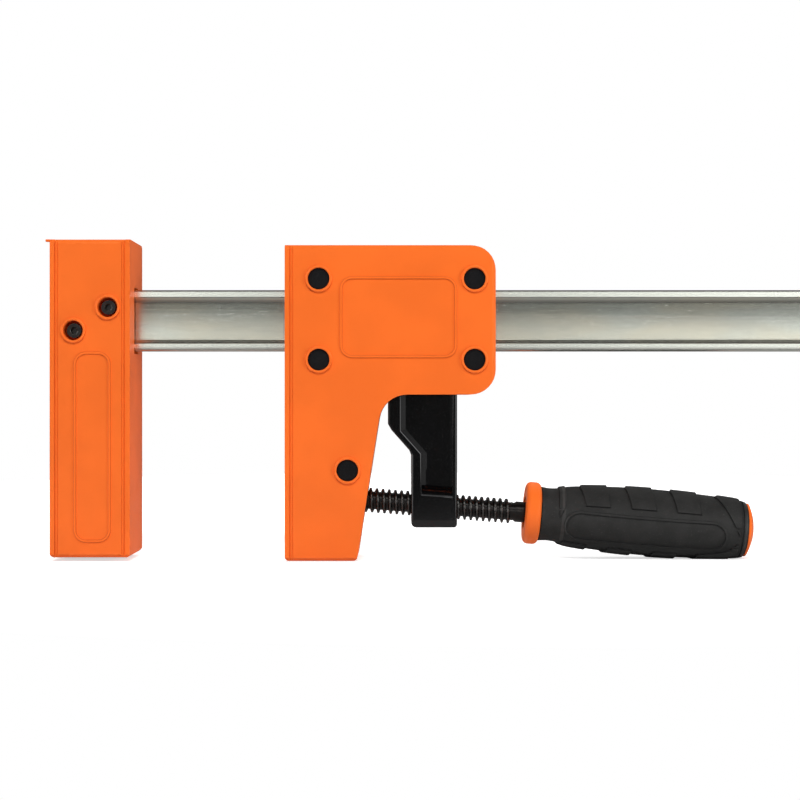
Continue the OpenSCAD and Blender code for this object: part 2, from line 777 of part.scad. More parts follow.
module thrust_pin() {
    color(steel) on_axis(key_pin_s) translate([-key_pin_off, -barrel_y + sunk, 0]) rotate([-90, 0, 0])
        cylinder(r = key_pin_r, h = 2 * (barrel_y - sunk));
}

// A closed solid between two outlines of the same number of points, at two Y planes
module taper(outer, y_outer, inner, y_inner) {
    n = len(outer);
    points = concat([for (p = outer) [p.x, y_outer, p.y]], [for (p = inner) [p.x, y_inner, p.y]]);
    sides = [for (i = [0:n - 1]) let (j = (i + 1) % n) each [[i, n + i, j], [j, n + i, n + j]]];
    polyhedron(points, concat([[for (i = [0:n - 1]) i], [for (i = [n - 1:-1:0]) n + i]], sides));
}

module arm_recess_cut() {
    lift = over / arm_recess;
    rim = [for (i = [0:len(recess_mouth) - 1])
        recess_mouth[i] + lift * (recess_mouth[i] - recess_floor[i])];
    taper(rim, -arm_y - over, recess_floor, -arm_y + arm_recess);
}

module screw_arm() {
    color(black) difference() {
        union() {
            difference() {
                across(-arm_y, arm_y) polygon(arm_outline);
                arm_recess_cut();
                mirror([0, 1, 0]) arm_recess_cut();
            }
            box([arm_foot_x + over, -shelf_y, recess_low - over], [arm_x1 - over, shelf_y, shelf_z]);
            intersection() {
                on_axis(along(arm_foot_x - over)) cylinder(r = boss_r, h = arm_w);
                across(-arm_y, arm_y) polygon(arm_outline);
            }
        }
        box([arm_x0 - over, -rail_y - gap, collar_z0], [collar_x1 + over, rail_y + gap, collar_z1]);
        on_axis(along(arm_foot_x) - barrel_r) cylinder(r = nut_r + seat, h = arm_w + barrel_r);
        key_bar(seat);
    }
}

// A key that lies half in the nut and half in the arm, and stops the nut turning
nut_inset = 1;
nut_s0 = along(arm_foot_x) + nut_inset;
nut_l = along(arm_x1) - nut_inset - nut_s0;
key_r = 1.2;

module key_bar(play = 0) {
    on_axis(nut_s0 + nut_l / 2) translate([-nut_r, 0, 0]) cylinder(r = key_r + play, h = nut_l);
}

module nut_key() {
    color(steel) on_axis(nut_s0 + nut_l / 2 + seat) translate([-nut_r, 0, 0])
        cylinder(r = key_r, h = nut_l / 2 - seat);
}

// Closed solid of a right-hand trapezoidal thread: a core with one ridge wound round it.
// Each turn has four lines of points: foot, crest, crest and foot of the ridge.
facets = 24;
root_share = 0.37;       // of the pitch is bare root
crest_share = 0.3;       // of the pitch is crest
run_out = 6;             // facets over which the ridge rises from the core at each end

module thread(n, r_root, r_crest, spare = 0) {
    flank = (1 - root_share - crest_share) / 2;
    rows = [[0, root_share / 2 - spare / pitch], [1, root_share / 2 + flank - spare / pitch],
            [1, 1 - root_share / 2 - flank + spare / pitch], [0, 1 - root_share / 2 + spare / pitch]];
    last = n * facets;
    function turned(i, r, z) = [r * cos(i * 360 / facets), r * sin(i * 360 / facets), z];
    function rise(i) = (r_crest - r_root) * min(1, i / run_out, (last - i) / run_out);
    ridge = [for (i = [0:last], row = rows)
        turned(i, r_root + row[0] * rise(i), (i / facets + row[1]) * pitch)];
    base = len(ridge);
    ends = concat([for (i = [0:facets - 1]) turned(i, r_root, 0)],
                  [for (i = [0:facets - 1]) turned(i, r_root, (n + 1) * pitch)]);
    function v(i, k) = 4 * i + k;
    function bottom(i) = base + i % facets;
    function top(i) = base + facets + i % facets;
    ribbons = [for (i = [0:last - 1], k = [0:2]) each
        [[v(i, k), v(i, k + 1), v(i + 1, k)], [v(i, k + 1), v(i + 1, k + 1), v(i + 1, k)]]];
    valleys = [for (i = [0:last - facets - 1]) each
        [[v(i, 3), v(i + facets, 0), v(i + 1, 3)],
         [v(i + facets, 0), v(i + facets + 1, 0), v(i + 1, 3)]]];
    foot = [for (i = [0:facets - 2]) each
        [[bottom(i), v(i, 0), bottom(i + 1)], [v(i, 0), v(i + 1, 0), bottom(i + 1)]]];
    head = [for (i = [last - facets + 1:last - 1]) each
        [[v(i, 3), top(i), v(i + 1, 3)], [top(i), top(i + 1), v(i + 1, 3)]]];
    foot_line = [v(facets, 0), v(0, 3), v(0, 2), v(0, 1), v(0, 0), bottom(0), bottom(facets - 1)];
    head_line = [v(last - facets, 3), v(last, 0), v(last, 1), v(last, 2), v(last, 3),
                 top(last), top(last + 1)];
    seams = [for (k = [0:5]) each
        [[v(facets - 1, 0), foot_line[k], foot_line[k + 1]],
         [v(last - facets + 1, 3), head_line[k], head_line[k + 1]]]];
    polyhedron(concat(ridge, ends), concat(ribbons, valleys, foot, head, seams,
        [[for (i = [0:facets - 1]) bottom(i)]], [[for (i = [facets - 1:-1:0]) top(i)]]));
}

// The nut's thread starts a whole number of turns along, so that it meshes with the spindle's
nut_turn = floor((nut_s0 - thread_start) / pitch) - 2;
nut_turns = ceil(nut_l / pitch) + 3;

module spindle_nut() {
    color(oxide) difference() {
        on_axis(nut_s0) cylinder(r = nut_r, h = nut_l);
        on_axis(thread_start + nut_turn * pitch) rotate([0, 0, thread_phase])
            thread(nut_turns, root_r + crest_play, thread_r + crest_play, thread_play);
        key_bar(seat);
    }
}

// Spindle: journal with a pin groove, shoulder, thread, neck and the tail inside the handle
module spindle() {
    core_r = root_r - core_step;
    neck_s = thread_end - pitch / 2;
    color(oxide) on_axis() {
        rotate_extrude() polygon([
            [0, tip_s], [journal_r, tip_s], [journal_r, key_pin_s - groove_half],
            [groove_r, key_pin_s - groove_half], [groove_r, key_pin_s + groove_half],
            [journal_r, key_pin_s + groove_half], [journal_r, shoulder_s],
            [shoulder_r, shoulder_s], [shoulder_r, shoulder_s + shoulder_t],
            [core_r, shoulder_s + shoulder_t], [core_r, thread_start + core_lap],
            [0, thread_start + core_lap]]);
        translate([0, 0, thread_start]) rotate([0, 0, thread_phase]) thread(turns, root_r, thread_r);
        difference() {
            translate([0, 0, neck_s]) cylinder(r = neck_r, h = tail_s - neck_s);
            translate([0, 0, handle_pin_s]) rotate([90, 0, 0])
                cylinder(r = pin_r + seat, h = 4 * neck_r, center = true);
        }
    }
}

// Handle: washer, hard core with its front ring, pin, rubber grip and end cap
grip_s = handle_s + ring_t;
grip_l = handle_l - dome_h - ring_t;
bead = 2.4;
stub_r = 6;
stub_l = 12;
washer_t = 1.2;
washer_gap = 0.2;

module handle_washer() {
    color(steel) on_axis(handle_s + mouth_d - washer_t - seat) difference() {
        cylinder(r = mouth_r - washer_gap, h = washer_t);
        translate([0, 0, -over]) cylinder(r = neck_r + run, h = washer_t + 2 * over);
    }
}

module handle_core() {
    sleeve_l = ring_t + grip_l;
    color(orange) on_axis(handle_s) difference() {
        rotate_extrude() polygon(concat(
            [[neck_r + seat, mouth_d], [mouth_r, mouth_d], [mouth_r, 0]],
            arc([ring_r - bead, bead], bead, -90, 0, 6),
            arc([ring_r - bead, ring_t - bead], bead, 0, 90, 6),
            [[sleeve_r, ring_t], [sleeve_r, sleeve_l], [stub_r + seat, sleeve_l],
             [stub_r + seat, sleeve_l - stub_l - over], [0, sleeve_l - stub_l - over],
             [0, tail_l + over], [neck_r + seat, tail_l + over]]));
        translate([0, 0, pin_in]) rotate([90, 0, 0])
            cylinder(r = pin_r + seat, h = 4 * sleeve_r, center = true);
    }
}

module handle_pin() {
    color(steel) on_axis(handle_pin_s) rotate([90, 0, 0])
        cylinder(r = pin_r, h = 2 * (sleeve_r - sunk), center = true);
}

// Outline of the grip: shares of its length and of the step from waist to belly, over the waist
swell = belly_r - waist_r;
grip_outline = [
    [0, 0.07], [0.045, 0], [0.08, 0.02], [0.09, 0.36], [0.2, 0.62], [0.3, 0.8],
    [0.49, 1], [0.69, 0.9], [0.84, 0.72], [0.95, 0.38], [1, 0]];

module handle_grip() {
    color(rubber) on_axis(grip_s) rotate_extrude()
        polygon(concat([for (p = grip_outline) [waist_r + p[1] * swell, p[0] * grip_l]],
            [[sleeve_r + seat, grip_l], [sleeve_r + seat, 0]]));
}

module handle_cap() {
    rim_r = heel_r - 0.7;
    dome_r = (rim_r * rim_r + dome_h * dome_h) / (2 * dome_h);
    reach = asin(rim_r / dome_r);
    color(orange) on_axis(grip_s + grip_l) rotate_extrude() polygon(concat(
        [[0, -stub_l], [stub_r, -stub_l], [stub_r, seat], [rim_r, seat]],
        [for (i = [1:6]) let (a = reach * (1 - i / 6))
            [dome_r * sin(a), dome_r * cos(a) + dome_h - dome_r]]));
}

rail();
end_stop();
end_stop_pin();
fixed_casing_front();
fixed_casing_back();
fixed_core();
fixed_inner_pad();
fixed_outer_pad();
cross_screws();
cross_nuts();
slide_casing_front();
slide_casing_back();
slide_core();
slide_pad();
casing_screws();
casing_nuts();
front_caps();
back_caps();
rail_guides();
thrust_barrel();
thrust_pin();
screw_arm();
spindle_nut();
nut_key();
spindle();
handle_washer();
handle_core();
handle_pin();
handle_grip();
handle_cap();
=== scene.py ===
# Looks of a parallel-jaw bar clamp, made around the packed part: satin orange casings with soft edges,
# a rolled and plated rail, a gloss black screw arm, a black spindle and a rubber-gripped handle.
import json
import math

import bmesh
import bpy
from mathutils import Matrix, Vector


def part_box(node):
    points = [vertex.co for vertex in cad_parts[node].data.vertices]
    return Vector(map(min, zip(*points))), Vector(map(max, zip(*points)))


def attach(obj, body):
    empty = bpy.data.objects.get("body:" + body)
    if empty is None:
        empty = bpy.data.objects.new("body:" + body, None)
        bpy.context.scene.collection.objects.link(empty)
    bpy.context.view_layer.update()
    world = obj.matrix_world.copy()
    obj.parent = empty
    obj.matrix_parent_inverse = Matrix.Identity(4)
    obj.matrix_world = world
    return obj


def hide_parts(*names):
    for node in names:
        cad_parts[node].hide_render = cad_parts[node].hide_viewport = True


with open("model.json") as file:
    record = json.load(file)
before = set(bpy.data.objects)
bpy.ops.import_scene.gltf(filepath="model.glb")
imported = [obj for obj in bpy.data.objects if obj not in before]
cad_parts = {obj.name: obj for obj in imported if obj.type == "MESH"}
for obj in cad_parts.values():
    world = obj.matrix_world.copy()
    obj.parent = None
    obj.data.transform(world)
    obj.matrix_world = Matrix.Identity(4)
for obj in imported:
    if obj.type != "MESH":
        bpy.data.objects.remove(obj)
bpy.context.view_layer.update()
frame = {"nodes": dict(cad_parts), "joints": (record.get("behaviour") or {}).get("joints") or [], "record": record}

bl_info = {
    "name": "Bar clamp looks",
    "version": (1, 0, 0),
    "blender": (4, 5, 0),
    "location": "3D View > Sidebar > Clamp",
    "description": "Dresses the bar clamp's frame with rounded, textured pieces and lights it",
    "category": "Object",
}

MM = 0.001
TINY = 1e-6              # points that are this close are one point
HAIR = 0.01 * MM         # slack when a point is tested against a plane that it lies on
FLAT = math.radians(0.5)     # faces that turn less than this are one flat face
UP = Vector((0, 0, 1))
WHITE = (1, 1, 1, 1)

# The frame's own places. The spindle's axis is that of the joint it turns on, in the X-Z plane.
TURN = next(joint for joint in frame["joints"] if joint["name"] == "spindle_turn")
BARREL = Vector(TURN["pos_m"])
AXIS = Vector(TURN["axis"]).normalized()
AXIS_UP = Vector((-AXIS.z, 0, AXIS.x))
FRONT = Vector((0, -1, 0))
RAIL_LOW, RAIL_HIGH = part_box("rail")
JAW_Y = -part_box("slide_pad")[0].y
FLOOR_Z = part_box("slide_pad")[0].z - 0.3 * MM      # clear of the grip's lowest pads


def along(point):
    """Distance of a point from the barrel, along the spindle's axis."""
    return (Vector(point) - BARREL).dot(AXIS)


def from_axis(point):
    """A point's distance along the spindle's axis, and the way out to it from the axis."""
    s = along(point)
    return s, Vector(point) - on_axis(s, 0, 0)


def on_axis(s, r, angle):
    """A point round the spindle's axis. The angle runs from the top towards the front."""
    return BARREL + AXIS * s + (AXIS_UP * math.cos(angle) + FRONT * math.sin(angle)) * r


def node_span(node):
    """The node's first and last distance along the spindle's axis."""
    places = [along(v.co) for v in frame["nodes"][node].data.vertices]
    return min(places), max(places)


class Finish(bpy.types.PropertyGroup):
    """Colours of the clamp's finishes."""

    orange: bpy.props.FloatVectorProperty(
        name="Orange", description="Colour of the orange mouldings",
        default=(0.86, 0.150, 0.0185), size=3, min=0, max=1, subtype="COLOR")
    orange_worn: bpy.props.FloatVectorProperty(
        name="Worn orange", description="Colour of the orange along rubbed edges",
        default=(1.0, 0.22, 0.045), size=3, min=0, max=1, subtype="COLOR")
    plated: bpy.props.FloatVectorProperty(
        name="Plated steel", description="Colour of the rail's plating",
        default=(0.88, 0.92, 0.82), size=3, min=0, max=1, subtype="COLOR")
    enamel: bpy.props.FloatVectorProperty(
        name="Black enamel", description="Colour of the screw arm's gloss enamel",
        default=(0.0015, 0.0015, 0.0017), size=3, min=0, max=1, subtype="COLOR")
    oxide: bpy.props.FloatVectorProperty(
        name="Black oxide", description="Colour of the oiled black steel",
        default=(0.022, 0.021, 0.0205), size=3, min=0, max=1, subtype="COLOR")
    rubber: bpy.props.FloatVectorProperty(
        name="Grip rubber", description="Colour of the grip's rubber",
        default=(0.0145, 0.0143, 0.0138), size=3, min=0, max=1, subtype="COLOR")
    grain: bpy.props.FloatProperty(
        name="Moulding grain", description="Size of the fine grain on the mouldings",
        default=0.3 * MM, min=0.1 * MM, max=1 * MM, unit="LENGTH", subtype="DISTANCE")


class Casings(bpy.types.PropertyGroup):
    """How softly the mouldings' edges are rounded."""

    edge: bpy.props.FloatProperty(
        name="Outer edges", description="Rounding of the jaws' outer edges",
        default=0.75 * MM, min=0.2 * MM, max=1 * MM, unit="LENGTH", subtype="DISTANCE")
    pad_edge: bpy.props.FloatProperty(
        name="Pad edges", description="Rounding of the pads' long edges",
        default=1.1 * MM, min=0.2 * MM, max=1.6 * MM, unit="LENGTH", subtype="DISTANCE")
    ring: bpy.props.FloatProperty(
        name="Rings", description="Rounding of the rings round the screws",
        default=0.5 * MM, min=0.1 * MM, max=0.6 * MM, unit="LENGTH", subtype="DISTANCE")
    small: bpy.props.FloatProperty(
        name="Small edges", description="Rounding of the raised lines round the panels",
        default=0.22 * MM, min=0.05 * MM, max=0.3 * MM, unit="LENGTH", subtype="DISTANCE")


class RailShape(bpy.types.PropertyGroup):
    """Section of the rolled rail."""

    recess: bpy.props.FloatProperty(
        name="Recess", description="Depth of the web behind the lips",
        default=1.3 * MM, min=0.6 * MM, max=2 * MM, unit="LENGTH", subtype="DISTANCE")
    web_h: bpy.props.FloatProperty(
        name="Web height", description="Height of the recessed web between its slopes",
        default=17.9 * MM, min=10 * MM, max=25 * MM, unit="LENGTH", subtype="DISTANCE")
    slope: bpy.props.FloatProperty(
        name="Slope", description="Height of the slope from the web to each lip",
        default=2.2 * MM, min=1 * MM, max=3 * MM, unit="LENGTH", subtype="DISTANCE")
    hollow: bpy.props.FloatProperty(
        name="Hollow", description="How much deeper the middle of the web is rolled",
        default=0.45 * MM, min=0, max=0.6 * MM, unit="LENGTH", subtype="DISTANCE")
    lip_edge: bpy.props.FloatProperty(
        name="Lip edges", description="Rounding of the edges between web, slopes and lips",
        default=0.35 * MM, min=0.1 * MM, max=0.8 * MM, unit="LENGTH", subtype="DISTANCE")
    corner: bpy.props.FloatProperty(
        name="Corners", description="Rounding of the rail's bevelled long edges",
        default=0.25 * MM, min=0.1 * MM, max=0.5 * MM, unit="LENGTH", subtype="DISTANCE")


class ArmShape(bpy.types.PropertyGroup):
    """Cast edges of the screw arm."""

    edge: bpy.props.FloatProperty(
        name="Outer edges", description="Rounding of the arm's outer edges",
        default=1.1 * MM, min=0.2 * MM, max=1.4 * MM, unit="LENGTH", subtype="DISTANCE")
    rim: bpy.props.FloatProperty(
        name="Rim edges", description="Rounding of the edges round the recess",
        default=0.5 * MM, min=0.1 * MM, max=0.8 * MM, unit="LENGTH", subtype="DISTANCE")
    chin: bpy.props.FloatProperty(
        name="Chin", description="Height of the slant along the two long edges under the nut",
        default=3.8 * MM, min=1 * MM, max=4.5 * MM, unit="LENGTH", subtype="DISTANCE")


class ThreadShape(bpy.types.PropertyGroup):
    """Trapezoidal thread of the spindle."""

    crest: bpy.props.FloatProperty(
        name="Crest radius", description="Outer radius of the thread",
        default=6 * MM, min=5 * MM, max=6.5 * MM, unit="LENGTH", subtype="DISTANCE")
    root: bpy.props.FloatProperty(
        name="Root radius", description="Radius of the core between the turns",
        default=4.35 * MM, min=3.5 * MM, max=5 * MM, unit="LENGTH", subtype="DISTANCE")
    pitch: bpy.props.FloatProperty(
        name="Pitch", description="Rise of one turn",
        default=3 * MM, min=2 * MM, max=4 * MM, unit="LENGTH", subtype="DISTANCE")
    start: bpy.props.FloatProperty(
        name="Start", description="Distance from the barrel to the thread's first turn",
        default=15.4 * MM, min=10 * MM, max=20 * MM, unit="LENGTH", subtype="DISTANCE")
    turns: bpy.props.IntProperty(
        name="Turns", description="Number of turns of the thread", default=24, min=10, max=30)


class GripShape(bpy.types.PropertyGroup):
    """Raised pads and panels of the rubber grip."""

    lift: bpy.props.FloatProperty(
        name="Pad height", description="How far the raised pads stand out of the grip",
        default=0.75 * MM, min=0.2 * MM, max=1.5 * MM, unit="LENGTH", subtype="DISTANCE")
    round_off: bpy.props.FloatProperty(
        name="Pad edges", description="Width of the rounded edge round each pad",
        default=0.3 * MM, min=0.1 * MM, max=0.6 * MM, unit="LENGTH", subtype="DISTANCE")
    pitch: bpy.props.FloatProperty(
        name="Pad pitch", description="Distance from one raised pad to the next",
        default=21.75 * MM, min=15 * MM, max=30 * MM, unit="LENGTH", subtype="DISTANCE")
    ridge_w: bpy.props.FloatProperty(
        name="Panel ridge", description="Width of the ridge round each blank panel",
        default=1.65 * MM, min=0.5 * MM, max=3 * MM, unit="LENGTH", subtype="DISTANCE")
    ridge_h: bpy.props.FloatProperty(
        name="Ridge height", description="Height of the ridge round each blank panel",
        default=0.35 * MM, min=0.1 * MM, max=1 * MM, unit="LENGTH", subtype="DISTANCE")
    panel_depth: bpy.props.FloatProperty(
        name="Panel depth", description="How far the blank panels lie under the grip's surface",
        default=0.4 * MM, min=0, max=1 * MM, unit="LENGTH", subtype="DISTANCE")


class StageLook(bpy.types.PropertyGroup):
    """Camera, floor and lamps."""

    camera: bpy.props.FloatVectorProperty(
        name="Camera", description="Place of the camera, level with the middle of the jaws",
        default=(0.1281, -0.780, 0.02643), size=3, unit="LENGTH", subtype="TRANSLATION")
    focal: bpy.props.FloatProperty(
        name="Focal length", description="Focal length on a 36 mm sensor",
        default=72.3, min=20, max=200)
    key: bpy.props.FloatProperty(
        name="Key light", description="Power of the soft lamp over the fixed jaw",
        default=12.2, min=0, max=100, unit="POWER")
    side: bpy.props.FloatProperty(
        name="Side lights", description="Power of the left lamp; the right one has six times as much",
        default=1.4, min=0, max=100, unit="POWER")
    top: bpy.props.FloatProperty(
        name="Top light", description="Power of the soft lamp over and behind the clamp",
        default=8, min=0, max=100, unit="POWER")
    ambient: bpy.props.FloatProperty(
        name="Ambient", description="Strength of the even light from all round",
        default=0.11, min=0, max=1)


class Tree:
    """A node tree. add() makes a node from its type, its settings, and its inputs' values or links."""

    def __init__(self, tree):
        self.tree = tree

    def add(self, kind, settings=None, inputs=None):
        node = self.tree.nodes.new(kind)
        for key, value in (settings or {}).items():
            setattr(node, key, value)
        self.fill(node, inputs or {})
        return node

    def fill(self, node, inputs):
        """Sets or links a node's inputs, by name or number."""
        for key, value in inputs.items():
            source = value.socket if isinstance(value, Number) else value
            if isinstance(source, bpy.types.NodeSocket):
                self.tree.links.new(source, node.inputs[key])
            else:
                node.inputs[key].default_value = source

    def number(self, kind, output, settings=None, inputs=None):
        """One output of a new node, for maths on it."""
        return Number(self, self.add(kind, settings, inputs).outputs[output])

    def maths(self, operation, *values):
        """A Math node on numbers, fixed or varying."""
        return self.number("ShaderNodeMath", 0, {"operation": operation}, dict(enumerate(values)))

    def noise(self, place, size, detail=3.0, roughness=0.5):
        """Noise from 0 to 1 whose blotches are about as wide as size."""
        return self.number("ShaderNodeTexNoise", "Fac", None, {
            "Vector": place, "Scale": 1 / size, "Detail": detail, "Roughness": roughness})

    def mix(self, factor, first, second):
        """One colour where the factor is 0, the other where it is 1."""
        node = self.add("ShaderNodeMix", {"data_type": "RGBA"}, {0: factor, 6: first, 7: second})
        return node.outputs[2]

    def bump(self, height, depth, strength):
        """A normal that follows a height from 0 to 1, as deep as depth."""
        return self.add("ShaderNodeBump", None, {
            "Height": height, "Distance": depth, "Strength": strength}).outputs[0]


class Number:
    """A number that varies over a surface. Maths on it adds Math nodes to its tree."""

    def __init__(self, tree, socket):
        self.tree = tree
        self.socket = socket

    def __add__(self, other):
        return self.tree.maths("ADD", self, other)

    def __sub__(self, other):
        return self.tree.maths("SUBTRACT", self, other)

    def __rsub__(self, other):
        return self.tree.maths("SUBTRACT", other, self)

    def __mul__(self, other):
        return self.tree.maths("MULTIPLY", self, other)

    __radd__ = __add__
    __rmul__ = __mul__

    def over(self, low, high):
        """0 below low, 1 above high, and smooth between them."""
        return self.tree.number("ShaderNodeMapRange", 0, {"interpolation_type": "SMOOTHSTEP"}, {
            "Value": self, "From Min": low, "From Max": high})


def rgba(colour, light=1.0):
    """A colour as a socket takes it, lightened or darkened by a factor."""
    return (*(min(1, part * light) for part in colour), 1)


def new_material(name):
    """An empty material with its tree, its Principled shader and its place on the object."""
    material = bpy.data.materials.new(name)
    material.use_nodes = True
    material.node_tree.nodes.clear()
    tree = Tree(material.node_tree)
    place = tree.add("ShaderNodeTexCoord").outputs["Object"]
    shader = tree.add("ShaderNodeBsdfPrincipled")
    tree.add("ShaderNodeOutputMaterial", None, {"Surface": shader.outputs[0]})
    return material, tree, place, shader


def feed(tree, shader, **inputs):
    """Sets or links the shader's sockets. An underscore in a name stands for a space."""
    tree.fill(shader, {key.replace("_", " "): value for key, value in inputs.items()})


def stretched(tree, place, x, y, z):
    """The place, scaled along each axis: a pattern on it runs along the axis with the least scale."""
    return tree.add("ShaderNodeMapping", None, {"Vector": place, "Scale": (x, y, z)}).outputs[0]


def wear_and_painted_shade(tree, way=1):
    """With way 1, how far a spot lies on a rubbed edge, from 0 to 1; with way -1, how far it lies in a crease
    where shade is painted.
    """
    mark = tree.number("ShaderNodeAttribute", "Fac", {"attribute_name": "edge_wear_and_painted_light"}) * way
    return tree.maths("MAXIMUM", mark, 0)


def orange_plastic(finish):
    """Satin moulded plastic: fine grain, flow clouds, hairline scuffs, rubbed edges, and shade painted dark along
    the panel lines' creases.
    """
    material, tree, place, shader = new_material("orange_plastic_satin")
    clouds = tree.noise(place, 28 * MM, 2.0)
    speck = tree.noise(place, 1.1 * MM, 3.0, 0.6)
    grain = tree.noise(place, finish.grain, 2.0)
    scuff = tree.noise(stretched(tree, place, 1, 1, 0.06), 0.7 * MM, 2.0).over(0.70, 0.78)
    rubbed = wear_and_painted_shade(tree) * tree.noise(place, 3 * MM, 3.0).over(0.35, 0.7)
    tone = tree.mix(clouds.over(0.3, 0.7), rgba(finish.orange, 0.96), rgba(finish.orange, 1.04))
    tone = tree.mix(speck.over(0.55, 0.8) * 0.12, tone, rgba(finish.orange, 0.8))
    tone = tree.mix(rubbed * 0.35, tone, rgba(finish.orange_worn))
    # Painted shade: darker along the marked flanks of the panel lines.
    tone = tree.mix(wear_and_painted_shade(tree, -1), tone, rgba(finish.orange, 0.55))
    feed(tree, shader, Base_Color=tone, Specular_IOR_Level=0.28,
         Roughness=0.44 + 0.10 * speck + 0.08 * scuff - 0.06 * rubbed,
         Normal=tree.bump(grain * 0.7 + speck * 0.5 - scuff * 0.2, 0.03 * MM, 0.8))
    return material


def rail_steel(finish):
    """Plated steel, drawn lengthwise, with a faintly yellowed web; shade is painted dark on the ledges and on the
    rounded top and bottom edges, and a highlight is painted bright on the lips.
    """
    material, tree, place, shader = new_material("rail_plated_steel")
    lines = tree.noise(stretched(tree, place, 0.02, 1, 1), 0.22 * MM, 3.0, 0.6)
    streaks = tree.noise(stretched(tree, place, 0.10, 1, 1), 1.6 * MM, 3.0)
    mottle = tree.noise(stretched(tree, place, 0.55, 1, 1), 1.1 * MM, 4.0, 0.65)
    clouds = tree.noise(stretched(tree, place, 0.35, 1, 1), 9 * MM, 3.0)
    pits = tree.noise(place, 0.9 * MM, 2.0).over(0.68, 0.76)
    drift = tree.noise(stretched(tree, place, 0.3, 1, 1), 22 * MM, 2.0)
    tone = tree.mix(mottle.over(0.3, 0.7), rgba(finish.plated, 0.56), rgba(finish.plated, 0.62))
    tone = tree.mix(drift.over(0.4, 0.62) * 0.7, tone, (0.56, 0.53, 0.42, 1))
    tone = tree.mix(clouds.over(0.35, 0.7) * 0.35, tone, rgba(finish.plated, 0.49))
    tone = tree.mix(streaks.over(0.45, 0.75) * 0.15, tone, (0.52, 0.49, 0.41, 1))
    tone = tree.mix(pits * 0.3, tone, (0.25, 0.24, 0.21, 1))
    height = Number(tree, tree.add("ShaderNodeSeparateXYZ", None, {0: place}).outputs["Z"])
    up = height - (RAIL_LOW.z + RAIL_HIGH.z) / 2
    down = 0 - up
    off = tree.maths("ABSOLUTE", up)
    # Bands by height on the rail: lip for a painted highlight, the two ledges and rim for painted shade.
    lip = off.over(11.2 * MM, 11.6 * MM)
    upper_ledge_shade = up.over(8.3 * MM, 8.9 * MM) * (1 - up.over(9.2 * MM, 10.6 * MM))
    lower_ledge_shade = down.over(10.1 * MM, 10.9 * MM) * (1 - down.over(11.0 * MM, 11.4 * MM))
    rim = up.over(13.4 * MM, 14.1 * MM) + down.over(12.4 * MM, 13.6 * MM)
    # Painted highlight on the lips, painted shade on the ledges and on the rounded top and bottom edges.
    tone = tree.mix(lip * 0.95, tone, rgba(finish.plated, 1.1))
    tone = tree.mix(upper_ledge_shade * 0.65 + lower_ledge_shade * 0.75, tone, (0.16, 0.155, 0.14, 1))
    tone = tree.mix(rim * 0.6, tone, (0.25, 0.24, 0.22, 1))
    feed(tree, shader, Base_Color=tone, Metallic=1.0,
         Roughness=0.21 + 0.04 * mottle + 0.06 * lines,
         Normal=tree.bump(lines * 0.7 + mottle * 0.22 - pits * 0.4, 0.02 * MM, 0.7))
    return material


def bright_steel(_finish):
    """Turned steel of pins, washer and thrust barrel."""
    material, tree, place, shader = new_material("bright_turned_steel")
    lines = tree.noise(stretched(tree, place, 1, 0.1, 1), 0.25 * MM, 3.0)
    stain = tree.noise(place, 3 * MM, 3.0)
    tone = tree.mix(stain.over(0.35, 0.75), (0.70, 0.70, 0.69, 1), (0.50, 0.49, 0.47, 1))
    feed(tree, shader, Base_Color=tone, Metallic=1.0, Roughness=0.2 + 0.2 * lines,
         Normal=tree.bump(lines, 0.01 * MM, 0.5))
    return material


def black_steel(finish):
    """Oiled black oxide with a brown cast and brighter rubbed crests."""
    material, tree, place, shader = new_material("black_oxide_steel")
    film = tree.noise(place, 2.2 * MM, 3.0)
    grit = tree.noise(place, 0.35 * MM, 2.0)
    rubbed = wear_and_painted_shade(tree) * grit.over(0.2, 0.7)
    tone = tree.mix(film.over(0.35, 0.7), rgba(finish.oxide), (0.034, 0.030, 0.027, 1))
    tone = tree.mix(rubbed * 0.42, tone, (0.20, 0.195, 0.185, 1))
    feed(tree, shader, Base_Color=tone, Metallic=0.85, Roughness=0.15 + 0.14 * film,
         Normal=tree.bump(grit, 0.012 * MM, 0.6))
    return material


def core_iron(_finish):
    """Rough grey iron, as cast, inside the jaws."""
    material, tree, place, shader = new_material("cast_iron_raw")
    skin = tree.noise(place, 1.2 * MM, 4.0, 0.6)
    rust = tree.noise(place, 14 * MM, 3.0).over(0.55, 0.8)
    tone = tree.mix(skin.over(0.3, 0.7), (0.16, 0.16, 0.165, 1), (0.30, 0.30, 0.31, 1))
    tone = tree.mix(rust * 0.4, tone, (0.20, 0.11, 0.07, 1))
    feed(tree, shader, Base_Color=tone, Metallic=0.8, Roughness=0.5 + 0.2 * skin,
         Normal=tree.bump(skin, 0.08 * MM, 0.8))
    return material


def black_iron(finish):
    """Gloss black enamel that follows the skin of the casting under it."""
    material, tree, place, shader = new_material("gloss_black_enamel")
    wave = tree.noise(place, 5 * MM, 2.0)
    peel = tree.noise(place, 1.1 * MM, 2.0)
    dust = tree.noise(place, 0.45 * MM, 2.0).over(0.66, 0.74)
    tone = tree.mix(dust * 0.2, rgba(finish.enamel), (0.05, 0.05, 0.05, 1))
    feed(tree, shader, Base_Color=tone, Specular_IOR_Level=0.38, Coat_Weight=0.15, Coat_Roughness=0.06,
         Roughness=0.12 + 0.08 * peel + 0.2 * dust,
         Normal=tree.bump(wave * 0.6 + peel * 0.15, 0.05 * MM, 0.5))
    return material


def black_plastic(_finish):
    """Matt black moulding with a speckled, spark-eroded texture."""
    material, tree, place, shader = new_material("matt_black_plastic")
    speckle = tree.noise(place, 0.55 * MM, 3.0, 0.7)
    tone = tree.mix(speckle.over(0.5, 0.72), (0.0025, 0.0025, 0.003, 1), (0.012, 0.012, 0.0125, 1))
    feed(tree, shader, Base_Color=tone, Roughness=0.5 + 0.25 * speckle, Specular_IOR_Level=0.12,
         Normal=tree.bump(speckle, 0.09 * MM, 0.8))
    return material


